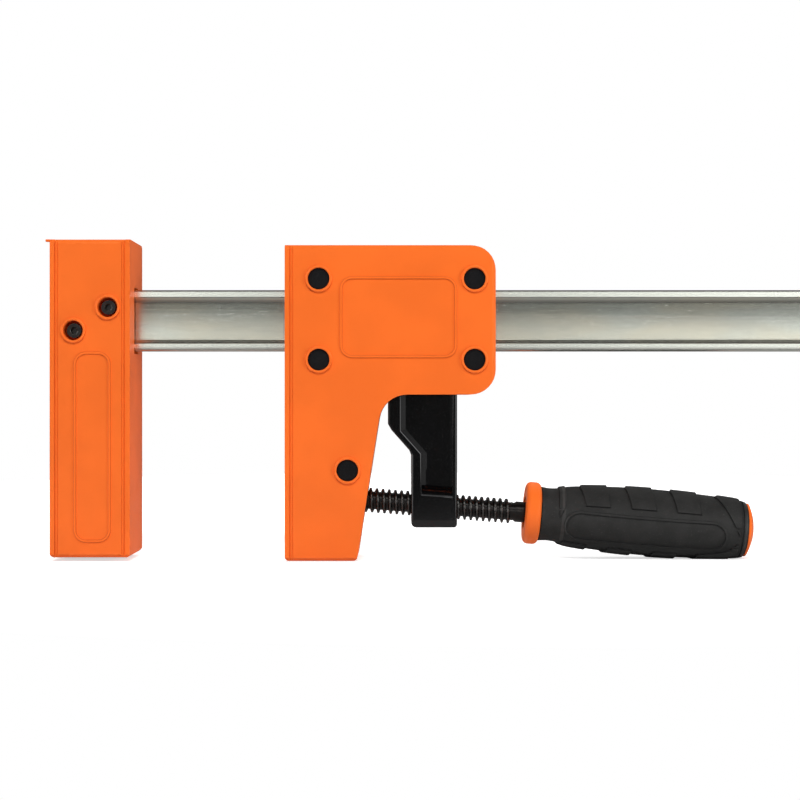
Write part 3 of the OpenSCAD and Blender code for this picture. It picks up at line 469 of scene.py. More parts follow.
def grip_rubber(finish):
    """Matt moulded rubber with fine grain, faint dust, paler pad tops that are wear and a painted highlight, and
    shade painted black along the flanks.
    """
    material, tree, place, shader = new_material("grip_black_rubber")
    clouds = tree.noise(place, 7 * MM, 3.0)
    grain = tree.noise(place, 0.32 * MM, 3.0, 0.6)
    dust = tree.noise(place, 0.7 * MM, 3.0).over(0.6, 0.75)
    rubbed = wear_and_painted_shade(tree) * clouds.over(0.2, 0.6)
    tone = tree.mix(clouds.over(0.3, 0.7), rgba(finish.rubber, 0.85), rgba(finish.rubber, 1.2))
    tone = tree.mix(dust * 0.3, tone, (0.075, 0.073, 0.070, 1))
    # Paler rounded tops of the pads: partly wear, partly a painted highlight.
    tone = tree.mix(rubbed * 0.35, tone, (0.085, 0.083, 0.080, 1))
    # Painted shade: near black along the steep flanks of the pads and ridges.
    tone = tree.mix(wear_and_painted_shade(tree, -1) * 0.9, tone, (0.0015, 0.0015, 0.0015, 1))
    feed(tree, shader, Base_Color=tone, Roughness=0.58 + 0.15 * grain, Specular_IOR_Level=0.3,
         Normal=tree.bump(grain, 0.05 * MM, 0.8))
    return material


MAKERS = {
    "orange_plastic": orange_plastic, "rail_steel": rail_steel, "bright_steel": bright_steel,
    "black_steel": black_steel, "core_iron": core_iron, "black_iron": black_iron,
    "black_plastic": black_plastic, "grip_rubber": grip_rubber,
}
SLOT_OF = {part["node"]: part["material_slot"] for part in frame["record"]["subparts"]}
BODY_OF = {node: body for body, nodes in frame["record"]["behaviour"]["bodies"].items() for node in nodes}
made = {}


def material_for(slot):
    """The finish of a material slot, made once."""
    if slot not in made:
        made[slot] = MAKERS[slot](bpy.context.scene.clamp_finish)
    return made[slot]


def closed_copy(node):
    """A closed copy of a CAD node with its flat regions as whole faces."""
    bm = bmesh.new()
    bm.from_mesh(frame["nodes"][node].data)
    bmesh.ops.remove_doubles(bm, verts=bm.verts, dist=TINY)
    bmesh.ops.dissolve_limit(bm, angle_limit=FLAT, verts=bm.verts, edges=bm.edges)
    bm.faces.layers.float.new("edge_wear_and_painted_light")
    return bm


def soften(bm, width, wanted, segments, least, edge_mark, clamp=True):
    """Rounds the wanted edges that are sharper than least degrees, and marks the new faces with edge_mark: up to 1
    for wear where rubbed, down to -1 for shade painted into a crease."""
    layer = bm.faces.layers.float["edge_wear_and_painted_light"]
    edges = [e for e in bm.edges if len(e.link_faces) == 2
             and e.calc_face_angle(0) > math.radians(least) and wanted(e)]
    if not edges:
        raise RuntimeError("there is no edge to round")
    result = bmesh.ops.bevel(bm, geom=edges, offset=width, offset_type="OFFSET", segments=segments,
                             profile=0.5, affect="EDGES", clamp_overlap=clamp, loop_slide=True)
    for face in result["faces"]:
        face[layer] = edge_mark


def new_mesh(bm, name):
    """A mesh of what was built, which is then let go."""
    mesh = bpy.data.meshes.new(name)
    bm.to_mesh(mesh)
    bm.free()
    return mesh


def new_object(name, data):
    """An object in the scene."""
    thing = bpy.data.objects.new(name, data)
    bpy.context.scene.collection.objects.link(thing)
    return thing


def add_piece(bm, name, node, sharp=32):
    """Makes the mesh a finished piece that stands for a CAD node, rides its body and takes its slot."""
    bmesh.ops.recalc_face_normals(bm, faces=bm.faces)
    piece = new_object(name, new_mesh(bm, name))
    piece.data.materials.append(material_for(SLOT_OF[node]))
    shade(piece.data, sharp)
    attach(piece, BODY_OF[node])
    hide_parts(node)


def shade(mesh, sharp):
    """Smooth shading in which wide flat faces stay flat, rounded edges run into them and edges
    sharper than the angle stay crisp."""
    mesh.shade_smooth()
    faces_at = [[] for _ in mesh.vertices]
    for face in mesh.polygons:
        for vert in face.vertices:
            faces_at[vert].append((face.normal.copy(), (face.area / MM ** 2) ** 2))
    limit = math.cos(math.radians(sharp))
    normals = []
    for face in mesh.polygons:
        own = face.normal.copy()
        for vert in face.vertices:
            total = own * TINY
            for normal, weight in faces_at[vert]:
                if normal.dot(own) > limit:
                    total += normal * weight
            normals.append(total.normalized())
    mesh.normals_split_custom_set(normals)


def lathe(bm, line, steps, closed=False):
    """Turns a line of (s, r) points about the spindle's axis. A radius of 0 makes a pole."""
    rings = []
    for s, r in line:
        if r < TINY:
            rings.append([bm.verts.new(on_axis(s, 0, 0))])
        else:
            rings.append([bm.verts.new(on_axis(s, r, 2 * math.pi * i / steps)) for i in range(steps)])
    pairs = list(zip(rings, rings[1:]))
    if closed:
        pairs.append((rings[-1], rings[0]))
    for first, second in pairs:
        for i in range(steps):
            j = (i + 1) % steps
            corners = [first[i % len(first)], first[j % len(first)],
                       second[j % len(second)], second[i % len(second)]]
            bm.faces.new(list(dict.fromkeys(corners)))


def new_bmesh():
    """An empty mesh whose faces can be marked for wear and for painted shade."""
    bm = bmesh.new()
    bm.faces.layers.float.new("edge_wear_and_painted_light")
    return bm


def convex(edge):
    """Whether the edge sticks out."""
    return edge.calc_face_angle_signed(0) > 0


def centre(edge):
    """The middle of an edge."""
    return (edge.verts[0].co + edge.verts[1].co) / 2


def every(edge, test):
    """Whether a test holds at both ends of an edge."""
    return all(test(v.co) for v in edge.verts)


def length_along(edge, axis):
    """How far an edge reaches along X, Y or Z."""
    return abs(edge.verts[0].co[axis] - edge.verts[1].co[axis])


def cut_at(bm, point, normal, clear=False):
    """Cuts new edges along a plane, and may take away what lies beyond it."""
    return bmesh.ops.bisect_plane(bm, geom=bm.verts[:] + bm.edges[:] + bm.faces[:], dist=TINY,
                                  plane_co=point, plane_no=normal, clear_outer=clear)["geom_cut"]


def wall_normal(edge):
    """Normal of the edge's face that looks least to the clamp's front or back."""
    return min((f.normal for f in edge.link_faces), key=lambda n: abs(n.y))


class CLAMP_OT_rail(bpy.types.Operator):
    """Rounds the rolled rail's long edges and hollows its web a little"""

    bl_idname = "clamp.rail"
    bl_label = "Rail"

    def execute(self, context):
        shape = context.scene.clamp_rail
        middle = (RAIL_LOW.z + RAIL_HIGH.z) / 2
        reach = shape.web_h / 2
        lip_from = reach + shape.slope
        web_y = RAIL_HIGH.y - shape.recess
        bm = closed_copy("rail")

        def lengthwise(edge):
            return length_along(edge, 0) > 100 * MM

        soften(bm, shape.lip_edge, lambda e: lengthwise(e) and every(
            e, lambda p: abs(p.z - middle) < lip_from + 0.1 * MM), 3, 15, 0.6)
        soften(bm, shape.corner, lambda e: lengthwise(e) and every(
            e, lambda p: abs(p.z - middle) > lip_from + 1 * MM), 3, 25, 1.0)
        rows = 4
        for k in range(-rows, rows + 1):
            cut_at(bm, Vector((0, 0, middle + (reach - shape.lip_edge) * k / (rows + 0.5))), UP)
        for vert in bm.verts:
            share = (vert.co.z - middle) / reach
            if abs(share) < 1 and abs(abs(vert.co.y) - web_y) < 0.02 * MM:
                vert.co.y -= math.copysign(shape.hollow * (1 - share ** 2), vert.co.y)
        add_piece(bm, "rail_rolled", "rail", sharp=24)
        return {"FINISHED"}


class CLAMP_OT_end_stop(bpy.types.Operator):
    """Rounds the moulded stop at the rail's end"""

    bl_idname = "clamp.end_stop"
    bl_label = "End stop"

    def execute(self, context):
        edge, shortest = 0.9 * MM, 4 * MM
        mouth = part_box("end_stop")[0].x + 1 * MM
        bm = closed_copy("end_stop")
        soften(bm, edge, lambda e: convex(e) and e.calc_length() > shortest
               and any(v.co.x > mouth for v in e.verts), 4, 60, 0.6)
        add_piece(bm, "end_stop_moulded", "end_stop")
        return {"FINISHED"}


class CLAMP_OT_casings(bpy.types.Operator):
    """Rounds the outer edges, rings and panel lines of the four casing halves"""

    bl_idname = "clamp.casings"
    bl_label = "Casings"

    def execute(self, context):
        shape = context.scene.clamp_casings
        # Reach of a groove beside its seam, and how far panel lines and rings stand out of the side
        groove, panel_line, ring = 2.4 * MM, (0.2 * MM, 0.6 * MM), 0.9 * MM
        for node in ("fixed_casing_front", "fixed_casing_back", "slide_casing_front", "slide_casing_back"):
            low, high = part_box(node)
            seams = (low.x, high.x) if node.startswith("fixed") else (low.x,)

            def in_groove(edge):
                return any(abs(centre(edge).x - seam) < groove for seam in seams)

            def stands_out(edge, least, most=1):
                return convex(edge) and every(edge, lambda p: least < abs(p.y) - JAW_Y < most)

            bm = closed_copy(node)
            soften(bm, shape.edge, lambda e: stands_out(e, -2 * MM, HAIR)
                   and not in_groove(e) and not round_hole(e, low, high), 3, 30, 0.8)
            soften(bm, shape.ring, lambda e: stands_out(e, ring), 3, 25, 0.8)
            # The panel lines' rounded edges are marked -0.7 so that shade is painted dark along them.
            soften(bm, shape.small, lambda e: stands_out(e, *panel_line), 2, 25, -0.7)
            add_piece(bm, node + "_moulded", node)
        return {"FINISHED"}


def round_hole(edge, low, high):
    """Whether an edge runs round a hole in a casing's side, such as a screw's."""
    margin, throat_z = 3 * MM, 30 * MM
    middle = centre(edge)
    inside = middle + wall_normal(edge) * 0.8 * MM
    across = low.x + margin < inside.x < high.x - margin
    return across and middle.z > throat_z and inside.z < high.z - margin


class CLAMP_OT_pads(bpy.types.Operator):
    """Rounds the clamping pads and the fixed jaw's outer strip, and adds the strip's tab of flash"""

    bl_idname = "clamp.pads"
    bl_label = "Clamping pads"

    def execute(self, context):
        shape = context.scene.clamp_casings
        faces = {"fixed_inner_pad": 1, "slide_pad": 0, "fixed_outer_pad": 0}
        for node, end in faces.items():
            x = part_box(node)[end].x
            bm = closed_copy(node)
            soften(bm, shape.pad_edge, lambda e: convex(e) and every(
                e, lambda p: abs(p.x - x) < HAIR and abs(p.y) > JAW_Y - HAIR), 4, 40, 0.8)
            if node == "fixed_outer_pad":
                add_flash(bm, Vector((x, -JAW_Y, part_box(node)[1].z)))
            add_piece(bm, node + "_moulded", node)
        return {"FINISHED"}


def add_flash(bm, corner):
    """The small tab of moulding flash at the outer pad's top front corner."""
    size = Vector((2.8, 1.6, 1.2)) * MM
    middle = Vector((corner.x - 0.7 * MM, corner.y + 1.2 * MM, corner.z - 0.65 * MM))
    tab = bmesh.ops.create_cube(bm, matrix=Matrix.LocRotScale(middle, None, size))
    edges = {e for v in tab["verts"] for e in v.link_edges}
    bmesh.ops.bevel(bm, geom=list(edges), offset=0.35 * MM, offset_type="OFFSET", segments=3,
                    profile=0.5, affect="EDGES", clamp_overlap=True)


class CLAMP_OT_fasteners(bpy.types.Operator):
    """Softens the edges of the screws, the nuts and the caps over them"""

    bl_idname = "clamp.fasteners"
    bl_label = "Screws, nuts and caps"

    def execute(self, context):
        kinds = [("_machined", 0.25 * MM, 2, 0.9, ("cross_screws", "casing_screws", "cross_nuts",
                                                   "casing_nuts")),
                 ("_moulded", 0.35 * MM, 3, 0.3, ("front_caps", "back_caps"))]
        for ending, edge, segments, edge_mark, nodes in kinds:
            for node in nodes:
                bm = closed_copy(node)
                soften(bm, edge, convex, segments, 50, edge_mark)
                add_piece(bm, node + ending, node)
        return {"FINISHED"}


class CLAMP_OT_inner_parts(bpy.types.Operator):
    """Gives the pins, the washer and the pieces inside the jaws their finishes, on their CAD meshes"""

    bl_idname = "clamp.inner_parts"
    bl_label = "Inner parts"

    def execute(self, context):
        for node in ("fixed_core", "slide_core", "rail_guides", "thrust_barrel", "thrust_pin", "nut_key",
                     "handle_pin", "end_stop_pin", "handle_washer", "spindle_nut"):
            for slot in frame["nodes"][node].material_slots:
                slot.material = material_for(SLOT_OF[node])
        return {"FINISHED"}


class CLAMP_OT_screw_arm(bpy.types.Operator):
    """Cuts the chin under the nut and rounds the arm's cast edges and the rims of its recesses"""

    bl_idname = "clamp.screw_arm"
    bl_label = "Screw arm"

    def execute(self, context):
        shape = context.scene.clamp_arm
        low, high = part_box("screw_arm")
        side = high.y - HAIR
        chin_top = low.z + shape.chin
        jaw_floor, nose = 32 * MM, low.x + 7 * MM
        heart = Vector((high.x - 0.35 * (high.x - low.x), 0, (low.z + high.z) / 2))

        def outline(edge):
            return wall_normal(edge).dot(centre(edge) - heart) > 0

        def rounded(point):
            """Whether the spot is on the arm's side, and either hangs under the jaw or is its nose."""
            return abs(point.y) > side and (point.z < jaw_floor or point.x < nose)

        bm = closed_copy("screw_arm")
        soften(bm, shape.edge, lambda e: convex(e) and outline(e) and every(e, rounded),
               4, 40, 0.5, clamp=False)
        soften(bm, shape.rim, lambda e: convex(e) and not outline(e) and every(
            e, lambda p: abs(p.y) > side), 3, 40, 0.5, clamp=False)
        for way in (-1, 1):
            cut = cut_at(bm, (0, way * high.y, chin_top), (0, way, -1), True)
            rim = [part for part in cut if isinstance(part, bmesh.types.BMEdge)]
            bmesh.ops.holes_fill(bm, edges=rim)
        soften(bm, shape.rim, lambda e: length_along(e, 0) > 12 * MM and every(
            e, lambda p: p.z < chin_top + 0.1 * MM), 3, 28, 0.5)
        add_piece(bm, "screw_arm_cast", "screw_arm", sharp=30)
        return {"FINISHED"}


def bake(source):
    """The evaluated mesh of an object as a plain mesh; the object goes, and its modifier with it."""
    bpy.context.view_layer.update()
    result = source.evaluated_get(bpy.context.evaluated_depsgraph_get())
    mesh = bpy.data.meshes.new_from_object(result)
    bpy.data.objects.remove(source)
    return mesh


def finish_group(tree, geometry, material):
    """Ends a geometry tree with real, finished geometry."""
    real = tree.add("GeometryNodeRealizeInstances", None, {0: geometry})
    shown = tree.add("GeometryNodeSetMaterial", None, {0: real.outputs[0], "Material": material})
    tree.add("NodeGroupOutput", None, {0: shown.outputs[0]})


def node_group(name, sizes):
    """An empty geometry tree with named size inputs, and a mesh coming in and going out."""
    group = bpy.data.node_groups.new(name, "GeometryNodeTree")
    group.interface.new_socket("Geometry", in_out="INPUT", socket_type="NodeSocketGeometry")
    for label, kind in sizes:
        group.interface.new_socket(label, in_out="INPUT", socket_type=kind)
    group.interface.new_socket("Geometry", in_out="OUTPUT", socket_type="NodeSocketGeometry")
    return group


def run_group(group, mesh, values):
    """A new object with the tree as its modifier, and the tree's inputs set by identifier."""
    source = new_object(group.name, mesh)
    modifier = source.modifiers.new(group.name, "NODES")
    modifier.node_group = group
    for item in group.interface.items_tree:
        if item.item_type == "SOCKET" and item.in_out == "INPUT" and item.name in values:
            modifier[item.identifier] = values[item.name]
    return source


def thread_group():
    """Geometry tree that sweeps a trapezoid along a spiral, and draws it in at both ends."""
    sizes = ("Turns", "Root radius", "Pitch", "Height", "Foot width", "Crest width", "Rounding")
    group = node_group("thread_sweep", [*((size, "NodeSocketFloat") for size in sizes),
                                        ("Material", "NodeSocketMaterial")])
    tree = Tree(group)
    given = tree.add("NodeGroupInput").outputs
    turns = Number(tree, given["Turns"])
    spiral = tree.add("GeometryNodeCurveSpiral", None, {
        "Resolution": 48, "Rotations": turns, "Start Radius": given["Root radius"],
        "End Radius": given["Root radius"], "Height": turns * Number(tree, given["Pitch"]),
        "Reverse": True})
    upright = tree.add("GeometryNodeSetCurveNormal", {"mode": "Z_UP"}, {"Curve": spiral.outputs[0]})
    share = tree.number("GeometryNodeSplineParameter", "Factor")
    tails_a_turn, thinnest = 4, 0.05
    near_end = tree.maths("MINIMUM", share, 1 - share) * turns * tails_a_turn
    drawn = tree.maths("MINIMUM", near_end + thinnest, 1)
    tapered = tree.add("GeometryNodeSetCurveRadius", None, {"Curve": upright.outputs[0], "Radius": drawn})
    profile = tree.add("GeometryNodeCurvePrimitiveQuadrilateral", {"mode": "TRAPEZOID"}, {
        "Bottom Width": given["Foot width"], "Top Width": given["Crest width"],
        "Height": Number(tree, given["Height"]) * 2, "Offset": 0.0})
    soft = tree.add("GeometryNodeFilletCurve", {"mode": "POLY"}, {
        "Curve": profile.outputs[0], "Radius": given["Rounding"], "Count": 3, "Limit Radius": True})
    turned = tree.add("GeometryNodeTransform", None, {
        "Geometry": soft.outputs[0], "Rotation": (0, 0, -math.pi / 2)})
    swept = tree.add("GeometryNodeCurveToMesh", None, {
        "Curve": tapered.outputs[0], "Profile Curve": turned.outputs[0], "Fill Caps": True,
        "Scale": drawn})
    finish_group(tree, swept.outputs[0], given["Material"])
    return group


class CLAMP_OT_spindle(bpy.types.Operator):
    """Turns the spindle's journal, shoulder, core and neck, and winds the thread's ridge round the core"""

    bl_idname = "clamp.spindle"
    bl_label = "Spindle"

    def execute(self, context):
        shape = context.scene.clamp_thread
        foot, crest, rounding = 0.96 * shape.pitch, 0.3 * shape.pitch, 0.3 * MM
        bm = new_bmesh()
        lathe(bm, spindle_line(shape, *node_span("spindle")), 64)
        ridge = bake(run_group(thread_group(), bpy.data.meshes.new("thread_seed"), {
            "Turns": float(shape.turns), "Root radius": shape.root, "Pitch": shape.pitch,
            "Height": shape.crest - shape.root, "Foot width": foot, "Crest width": crest,
            "Rounding": rounding, "Material": material_for("black_steel")}))
        place = Matrix((AXIS_UP, AXIS.cross(AXIS_UP), AXIS)).transposed().to_4x4()
        place.translation = on_axis(shape.start - 0.1 * shape.pitch, 0, 0)
        ridge.transform(place)
        bm.from_mesh(ridge)
        end = shape.start + shape.pitch * (shape.turns + 1)
        layer = bm.faces.layers.float["edge_wear_and_painted_light"]
        for face in bm.faces:
            s, out = from_axis(face.calc_center_median())
            if shape.start < s < end and out.length > shape.crest - rounding:
                face[layer] = 1
        add_piece(bm, "spindle_turned", "spindle", sharp=50)
        return {"FINISHED"}


def spindle_line(shape, tip, tail):
    """Section of the spindle without its thread: distances along its axis and radii."""
    journal, shoulder, core, neck = 4 * MM, 5.4 * MM, 4.2 * MM, 5 * MM
    soft = 0.4 * MM
    shoulder_from, shoulder_to = 6.6 * MM, 9.0 * MM
    neck_from = shape.start + shape.pitch * (shape.turns + 0.5)
    return [(tip, 0), (tip, journal - soft), (tip + soft, journal), (shoulder_from, journal),
            (shoulder_from, shoulder - soft / 2), (shoulder_from + soft / 2, shoulder),
            (shoulder_to - soft / 2, shoulder), (shoulder_to, shoulder - soft / 2), (shoulder_to, core),
            (shape.start, core), (shape.start + soft, shape.root), (neck_from - 2 * soft, shape.root),
            (neck_from, neck), (tail - soft, neck), (tail, neck - soft), (tail, 0)]


# Rise and fall of the grip's bare rubber: distance from its front end and radius, in millimetres
GRIP_LINE = [(0, 13.1), (2, 12.85), (4.4, 12.7), (8.5, 13.05), (13, 14.1), (20, 14.85), (30, 15.5),
             (40, 15.95), (50, 16.15), (60, 16.05), (70, 15.75), (80, 15.3), (90, 14.75), (96, 14.1),
             (99.5, 13.4)]

# Raised pads: turn up from the front in degrees, then the pad's first and last distance in millimetres.
# The last line of each is the middle of its row, and the other side mirrors it.
UPPER_PAD = [(23, 20.9, 32.7), (74, 17.9, 31.1)]
LOWER_PAD = [(-56, 11.4, 23.2), (-106, 8.6, 22.4)]
COLLAR_PAD = [(0, 8.8, 9.3), (19, 8.3, 11.4), (74, 8.1, 11.3)]
HEEL_PAD = [(-10, 95.0, 95.8), (23, 90.2, 95.8), (74, 83.2, 95.8)]
TOE_PAD = [(-27, 94.2, 95.2), (-40, 91.5, 95.4), (-50, 87.0, 94.5), (-56, 76.2, 93.0), (-106, 73.0, 89.2)]
PADS = [(UPPER_PAD, 3), (LOWER_PAD, 3), (COLLAR_PAD, 1), (HEEL_PAD, 1), (TOE_PAD, 1)]

# The two blank panels: turn of the front one in degrees, the ends of their middle line, and half their
# height. Then the groove round the rubber's rim: distances and depths. Lengths are in millimetres, and
# the panels' ends and the groove are measured from the grip's front end.
PANEL_TURN = -16
PANEL_ENDS = (19.0, 81.8)
PANEL_HALF = 7.2
RIM_GROOVE = [(96.3, 0), (96.6, 0.35), (96.9, 0.35), (97.2, 0)]


def grip_radius(t):
    """Radius of the bare grip at a distance in metres from its front end, on a smooth curve."""
    t = min(max(t / MM, GRIP_LINE[0][0]), GRIP_LINE[-1][0])
    last = len(GRIP_LINE) - 1
    i = next(k for k in range(last) if t <= GRIP_LINE[k + 1][0])
    (t0, r0), (t1, r1) = GRIP_LINE[i], GRIP_LINE[i + 1]

    def lean(k):
        (ta, ra), (tb, rb) = GRIP_LINE[max(k - 1, 0)], GRIP_LINE[min(k + 1, last)]
        return (rb - ra) / (tb - ta)

    step = t1 - t0
    u = (t - t0) / step
    rise = (2 * u ** 3 - 3 * u ** 2 + 1) * r0 + (u ** 3 - 2 * u ** 2 + u) * step * lean(i)
    return (rise + (3 * u ** 2 - 2 * u ** 3) * r1 + (u ** 3 - u ** 2) * step * lean(i + 1)) * MM


GRIP_START, GRIP_END = node_span("handle_grip")
RUBBER_L = GRIP_LINE[-1][0] * MM


def on_grip(t, turn, lift):
    """A point over the grip's surface; turn is in degrees up from the front."""
    return on_axis(GRIP_START + t, grip_radius(t) + lift, math.radians(90 - turn))


def inside_panel(t, turn):
    """How far inside one of the two blank panels a spot lies, from 0 at the ridge's middle, in metres."""
    low, high = (end * MM for end in PANEL_ENDS)
    off_turn = (turn - PANEL_TURN + 90) % 180 - 90
    off = math.radians(off_turn) * grip_radius(t)
    beyond = max(low - t, t - high, 0)
    return PANEL_HALF * MM - math.hypot(beyond, off)


def stations(edges, turn):
    """First and last distance of a pad at a turn, straight between its stations."""
    for (a0, l0, h0), (a1, l1, h1) in zip(edges, edges[1:]):
        if min(a0, a1) <= turn <= max(a0, a1):
            u = (turn - a0) / (a1 - a0)
            return (l0 + (l1 - l0) * u) * MM, (h0 + (h1 - h0) * u) * MM
    return edges[-1][1] * MM, edges[-1][2] * MM


def flat_pad(edges, shape):
    """One pad laid flat: X along the grip, Y its turn with a degree as a millimetre, Z its height."""
    buried, steps = -0.8, 16
    border = [(0, buried), (0.25, 0.7), (1, 1)]
    soft_turn = math.degrees(shape.round_off / grip_radius(50 * MM))
    near, middle = edges[0][0], edges[-1][0]
    way = 1 if middle > near else -1
    half = abs(middle - near)
    rows = [(inset * soft_turn, height) for inset, height in border]
    rows += [(half * k / steps, 1) for k in range(1, steps + 1)]
    bm = bmesh.new()
    sheets = ([], [])
    for side in (1, -1):
        for off, height_v in rows if side == 1 else rows[-2::-1]:
            low, high = stations(edges, near + way * off)
            soft = min(shape.round_off, (high - low) * 0.4)
            places = [(low + inset * soft, height) for inset, height in border]
            places += [(low + (high - low) * k / 4, 1) for k in (1, 2, 3) if high - low > 3 * MM]
            places += [(high - inset * soft, height) for inset, height in reversed(border)]
            turn = middle - side * way * (half - off)
            tops = [(t, turn * MM, shape.lift * min(height_u, height_v)) for t, height_u in places]
            sheets[0].append([bm.verts.new(p) for p in tops])
            sheets[1].append([bm.verts.new((t, y, buried * shape.lift)) for t, y, _ in tops])
    for sheet in sheets:
        for first, second in zip(sheet, sheet[1:]):
            fill_strip(bm, first, second)
    bmesh.ops.remove_doubles(bm, verts=bm.verts, dist=TINY)
    return new_mesh(bm, "pad")


def fill_strip(bm, first, second):
    """Faces between two rows of points, or one face where one row has fewer points."""
    if len(first) == len(second):
        for i in range(len(first) - 1):
            bm.faces.new([first[i], first[i + 1], second[i + 1], second[i]])
    else:
        bm.faces.new(first + second[::-1])


def pad_row_group():
    """Geometry tree that repeats a pad at an even pitch."""
    group = node_group("pad_row", [("Count", "NodeSocketInt"), ("Pitch", "NodeSocketFloat"),
                                   ("Material", "NodeSocketMaterial")])
    tree = Tree(group)
    given = tree.add("NodeGroupInput").outputs
    step = tree.add("ShaderNodeCombineXYZ", None, {"X": given["Pitch"]})
    line = tree.add("GeometryNodeMeshLine", None, {"Count": given["Count"], "Offset": step.outputs[0]})
    pads = tree.add("GeometryNodeInstanceOnPoints", None, {
        "Points": line.outputs[0], "Instance": given["Geometry"]})
    finish_group(tree, pads.outputs[0], given["Material"])
    return group


def add_pads(bm, edges, count, shape):
    """Repeats a pad along the grip and wraps the row round it."""
    row = bake(run_group(pad_row_group(), flat_pad(edges, shape), {
        "Count": count, "Pitch": shape.pitch, "Material": material_for("grip_rubber")}))
    for vert in row.vertices:
        vert.co = on_grip(vert.co.x, vert.co.y / MM, vert.co.z)
    bm.from_mesh(row)


def stadium(low, high, half, steps=14, straight=12):
    """Points of a stadium about a line from low to high, as (distance, height) pairs."""
    points = []
    for start, end, turn in ((low, high, -90), (high, low, 90)):
        side = math.sin(math.radians(turn)) * half
        points += [(start + (end - start) * k / straight, side) for k in range(1, straight)]
        for k in range(steps + 1):
            angle = math.radians(turn + 180 * k / steps)
            points.append((end + half * math.cos(angle), half * math.sin(angle)))
    return points


def add_ridge(bm, turn, shape):
    """The rounded ridge round one blank panel of the grip."""
    section = [(-1, -1.6), (-0.92, 0.2), (-0.65, 0.8), (0, 1), (0.65, 0.8), (0.92, 0.2), (1, -1.6)]
    low, high = (end * MM for end in PANEL_ENDS)
    loops = []
    for across, rise in section:
        lift = rise * shape.ridge_h
        line = stadium(low, high, PANEL_HALF * MM + shape.ridge_w / 2 * across)
        loops.append([bm.verts.new(on_grip(t, turn + math.degrees(h / grip_radius(t)), lift))
                      for t, h in line])
    for k in range(len(loops)):
        first, second = loops[k], loops[(k + 1) % len(loops)]
        for i in range(len(first)):
            j = (i + 1) % len(first)
            bm.faces.new([first[i], first[j], second[j], second[i]])


def mark_flanks(bm):
    """Marks the steep flanks of the grip's pads and ridges for painted shade, and their rounded tops for wear and
    a painted highlight.
    """
    layer = bm.faces.layers.float["edge_wear_and_painted_light"]
    bm.normal_update()
    steep, slanting = 0.88, 0.97
    for face in bm.faces:
        out = from_axis(face.calc_center_median())[1].normalized()
        lean = abs(face.normal.dot(out))
        face[layer] = -1 if lean < steep else 0.8 if lean < slanting else 0


class CLAMP_OT_grip(bpy.types.Operator):
    """Moulds the rubber grip with its raised pads and the ridges round its two blank panels"""

    bl_idname = "clamp.grip"
    bl_label = "Grip"

    def execute(self, context):
        shape = context.scene.clamp_grip
        bore, front_edge, rim_edge, bank = 10.55 * MM, 0.3 * MM, 0.5 * MM, 0.5 * MM
        steps = 120
        even = [RUBBER_L * k / steps for k in range(1, steps - 1)]
        groove_from, groove_to = RIM_GROOVE[0][0], RIM_GROOVE[-1][0]
        rises = [(t, grip_radius(t)) for t in even if not groove_from < t / MM < groove_to]
        for t, depth in RIM_GROOVE:
            rises.append((t * MM, grip_radius(t * MM) - depth * MM))
        front_r, rim_r = grip_radius(0), grip_radius(RUBBER_L)
        line = [(0, bore), (0, front_r - front_edge), (front_edge, front_r), *sorted(rises),
                (RUBBER_L - rim_edge, rim_r), (RUBBER_L, rim_r - rim_edge), (RUBBER_L, bore)]
        bm = new_bmesh()
        lathe(bm, [(GRIP_START + t, r) for t, r in line], 180, True)
        for vert in bm.verts:
            s, out = from_axis(vert.co)
            if out.length > bore + 1 * MM:
                turn = 90 - math.degrees(math.atan2(out.dot(FRONT), out.dot(AXIS_UP)))
                sunk = min(max(inside_panel(s - GRIP_START, turn) / bank, 0), 1) * shape.panel_depth
                vert.co -= out.normalized() * sunk
        for edges, count in PADS:
            add_pads(bm, edges, count, shape)
        for turn in (PANEL_TURN, PANEL_TURN + 180):
            add_ridge(bm, turn, shape)
        mark_flanks(bm)
        add_piece(bm, "handle_grip_moulded", "handle_grip", sharp=38)
        return {"FINISHED"}


class CLAMP_OT_handle_ends(bpy.types.Operator):
    """Smooths the handle's hard core with its front ring, and turns the domed cap over the rubber's end"""

    bl_idname = "clamp.handle_ends"
    bl_label = "Handle ring and cap"

    def execute(self, context):
        add_piece(closed_copy("handle_core"), "handle_core_moulded", "handle_core")
        stub, top = node_span("handle_cap")
        end = GRIP_START + RUBBER_L
        rim, seat, stub_r, steps = 12.8 * MM, 10.4 * MM, 6 * MM, 9
        soft, edge = 0.4 * MM, 0.2 * MM
        lip = end + 1.1 * MM
        dome = top - lip
        line = [(stub, 0), (stub, stub_r - soft), (stub + soft, stub_r), (GRIP_END, stub_r),
                (GRIP_END, seat), (end, seat), (end, rim - edge), (end + edge, rim),
                (lip - 0.3 * MM, rim)]
        for k in range(steps + 1):
            r = rim * (1 - k / steps)
            line.append((lip + dome * (1 - (r / rim) ** 2), r))
        bm = new_bmesh()
        lathe(bm, line, 128)
        add_piece(bm, "handle_cap_moulded", "handle_cap", sharp=40)
        return {"FINISHED"}


class CLAMP_OT_stage(bpy.types.Operator):
    """Lays the pale floor, sets the camera and the soft lamps, and lights the world evenly"""

    bl_idname = "clamp.stage"
    bl_label = "Stage"

    def execute(self, context):
        look = context.scene.clamp_stage
        add_floor()
        camera = bpy.data.cameras.new("camera")
        camera.lens = look.focal
        camera.sensor_width = 36
        eye = new_object("camera", camera)
        eye.location = look.camera
        eye.rotation_euler = (math.pi / 2, 0, 0)
        context.scene.camera = eye
        side_size = (0.45, 0.8)
        for name, place, size, power in (
                ("key_lamp", (0.02, -0.85, 0.95), (0.45, 0.22), look.key),
                ("left_lamp", (-0.85, -0.95, 0.25), side_size, look.side),
                ("right_lamp", (1.30, -0.55, 0.10), side_size, look.side * 6),
                ("top_lamp", (0.15, 0.75, 0.85), (1.2, 0.5), look.top)):
            add_lamp(name, Vector(place), size, power)
        context.scene.world = studio_world(look.ambient)
        context.scene.view_settings.view_transform = "Standard"
        return {"FINISHED"}


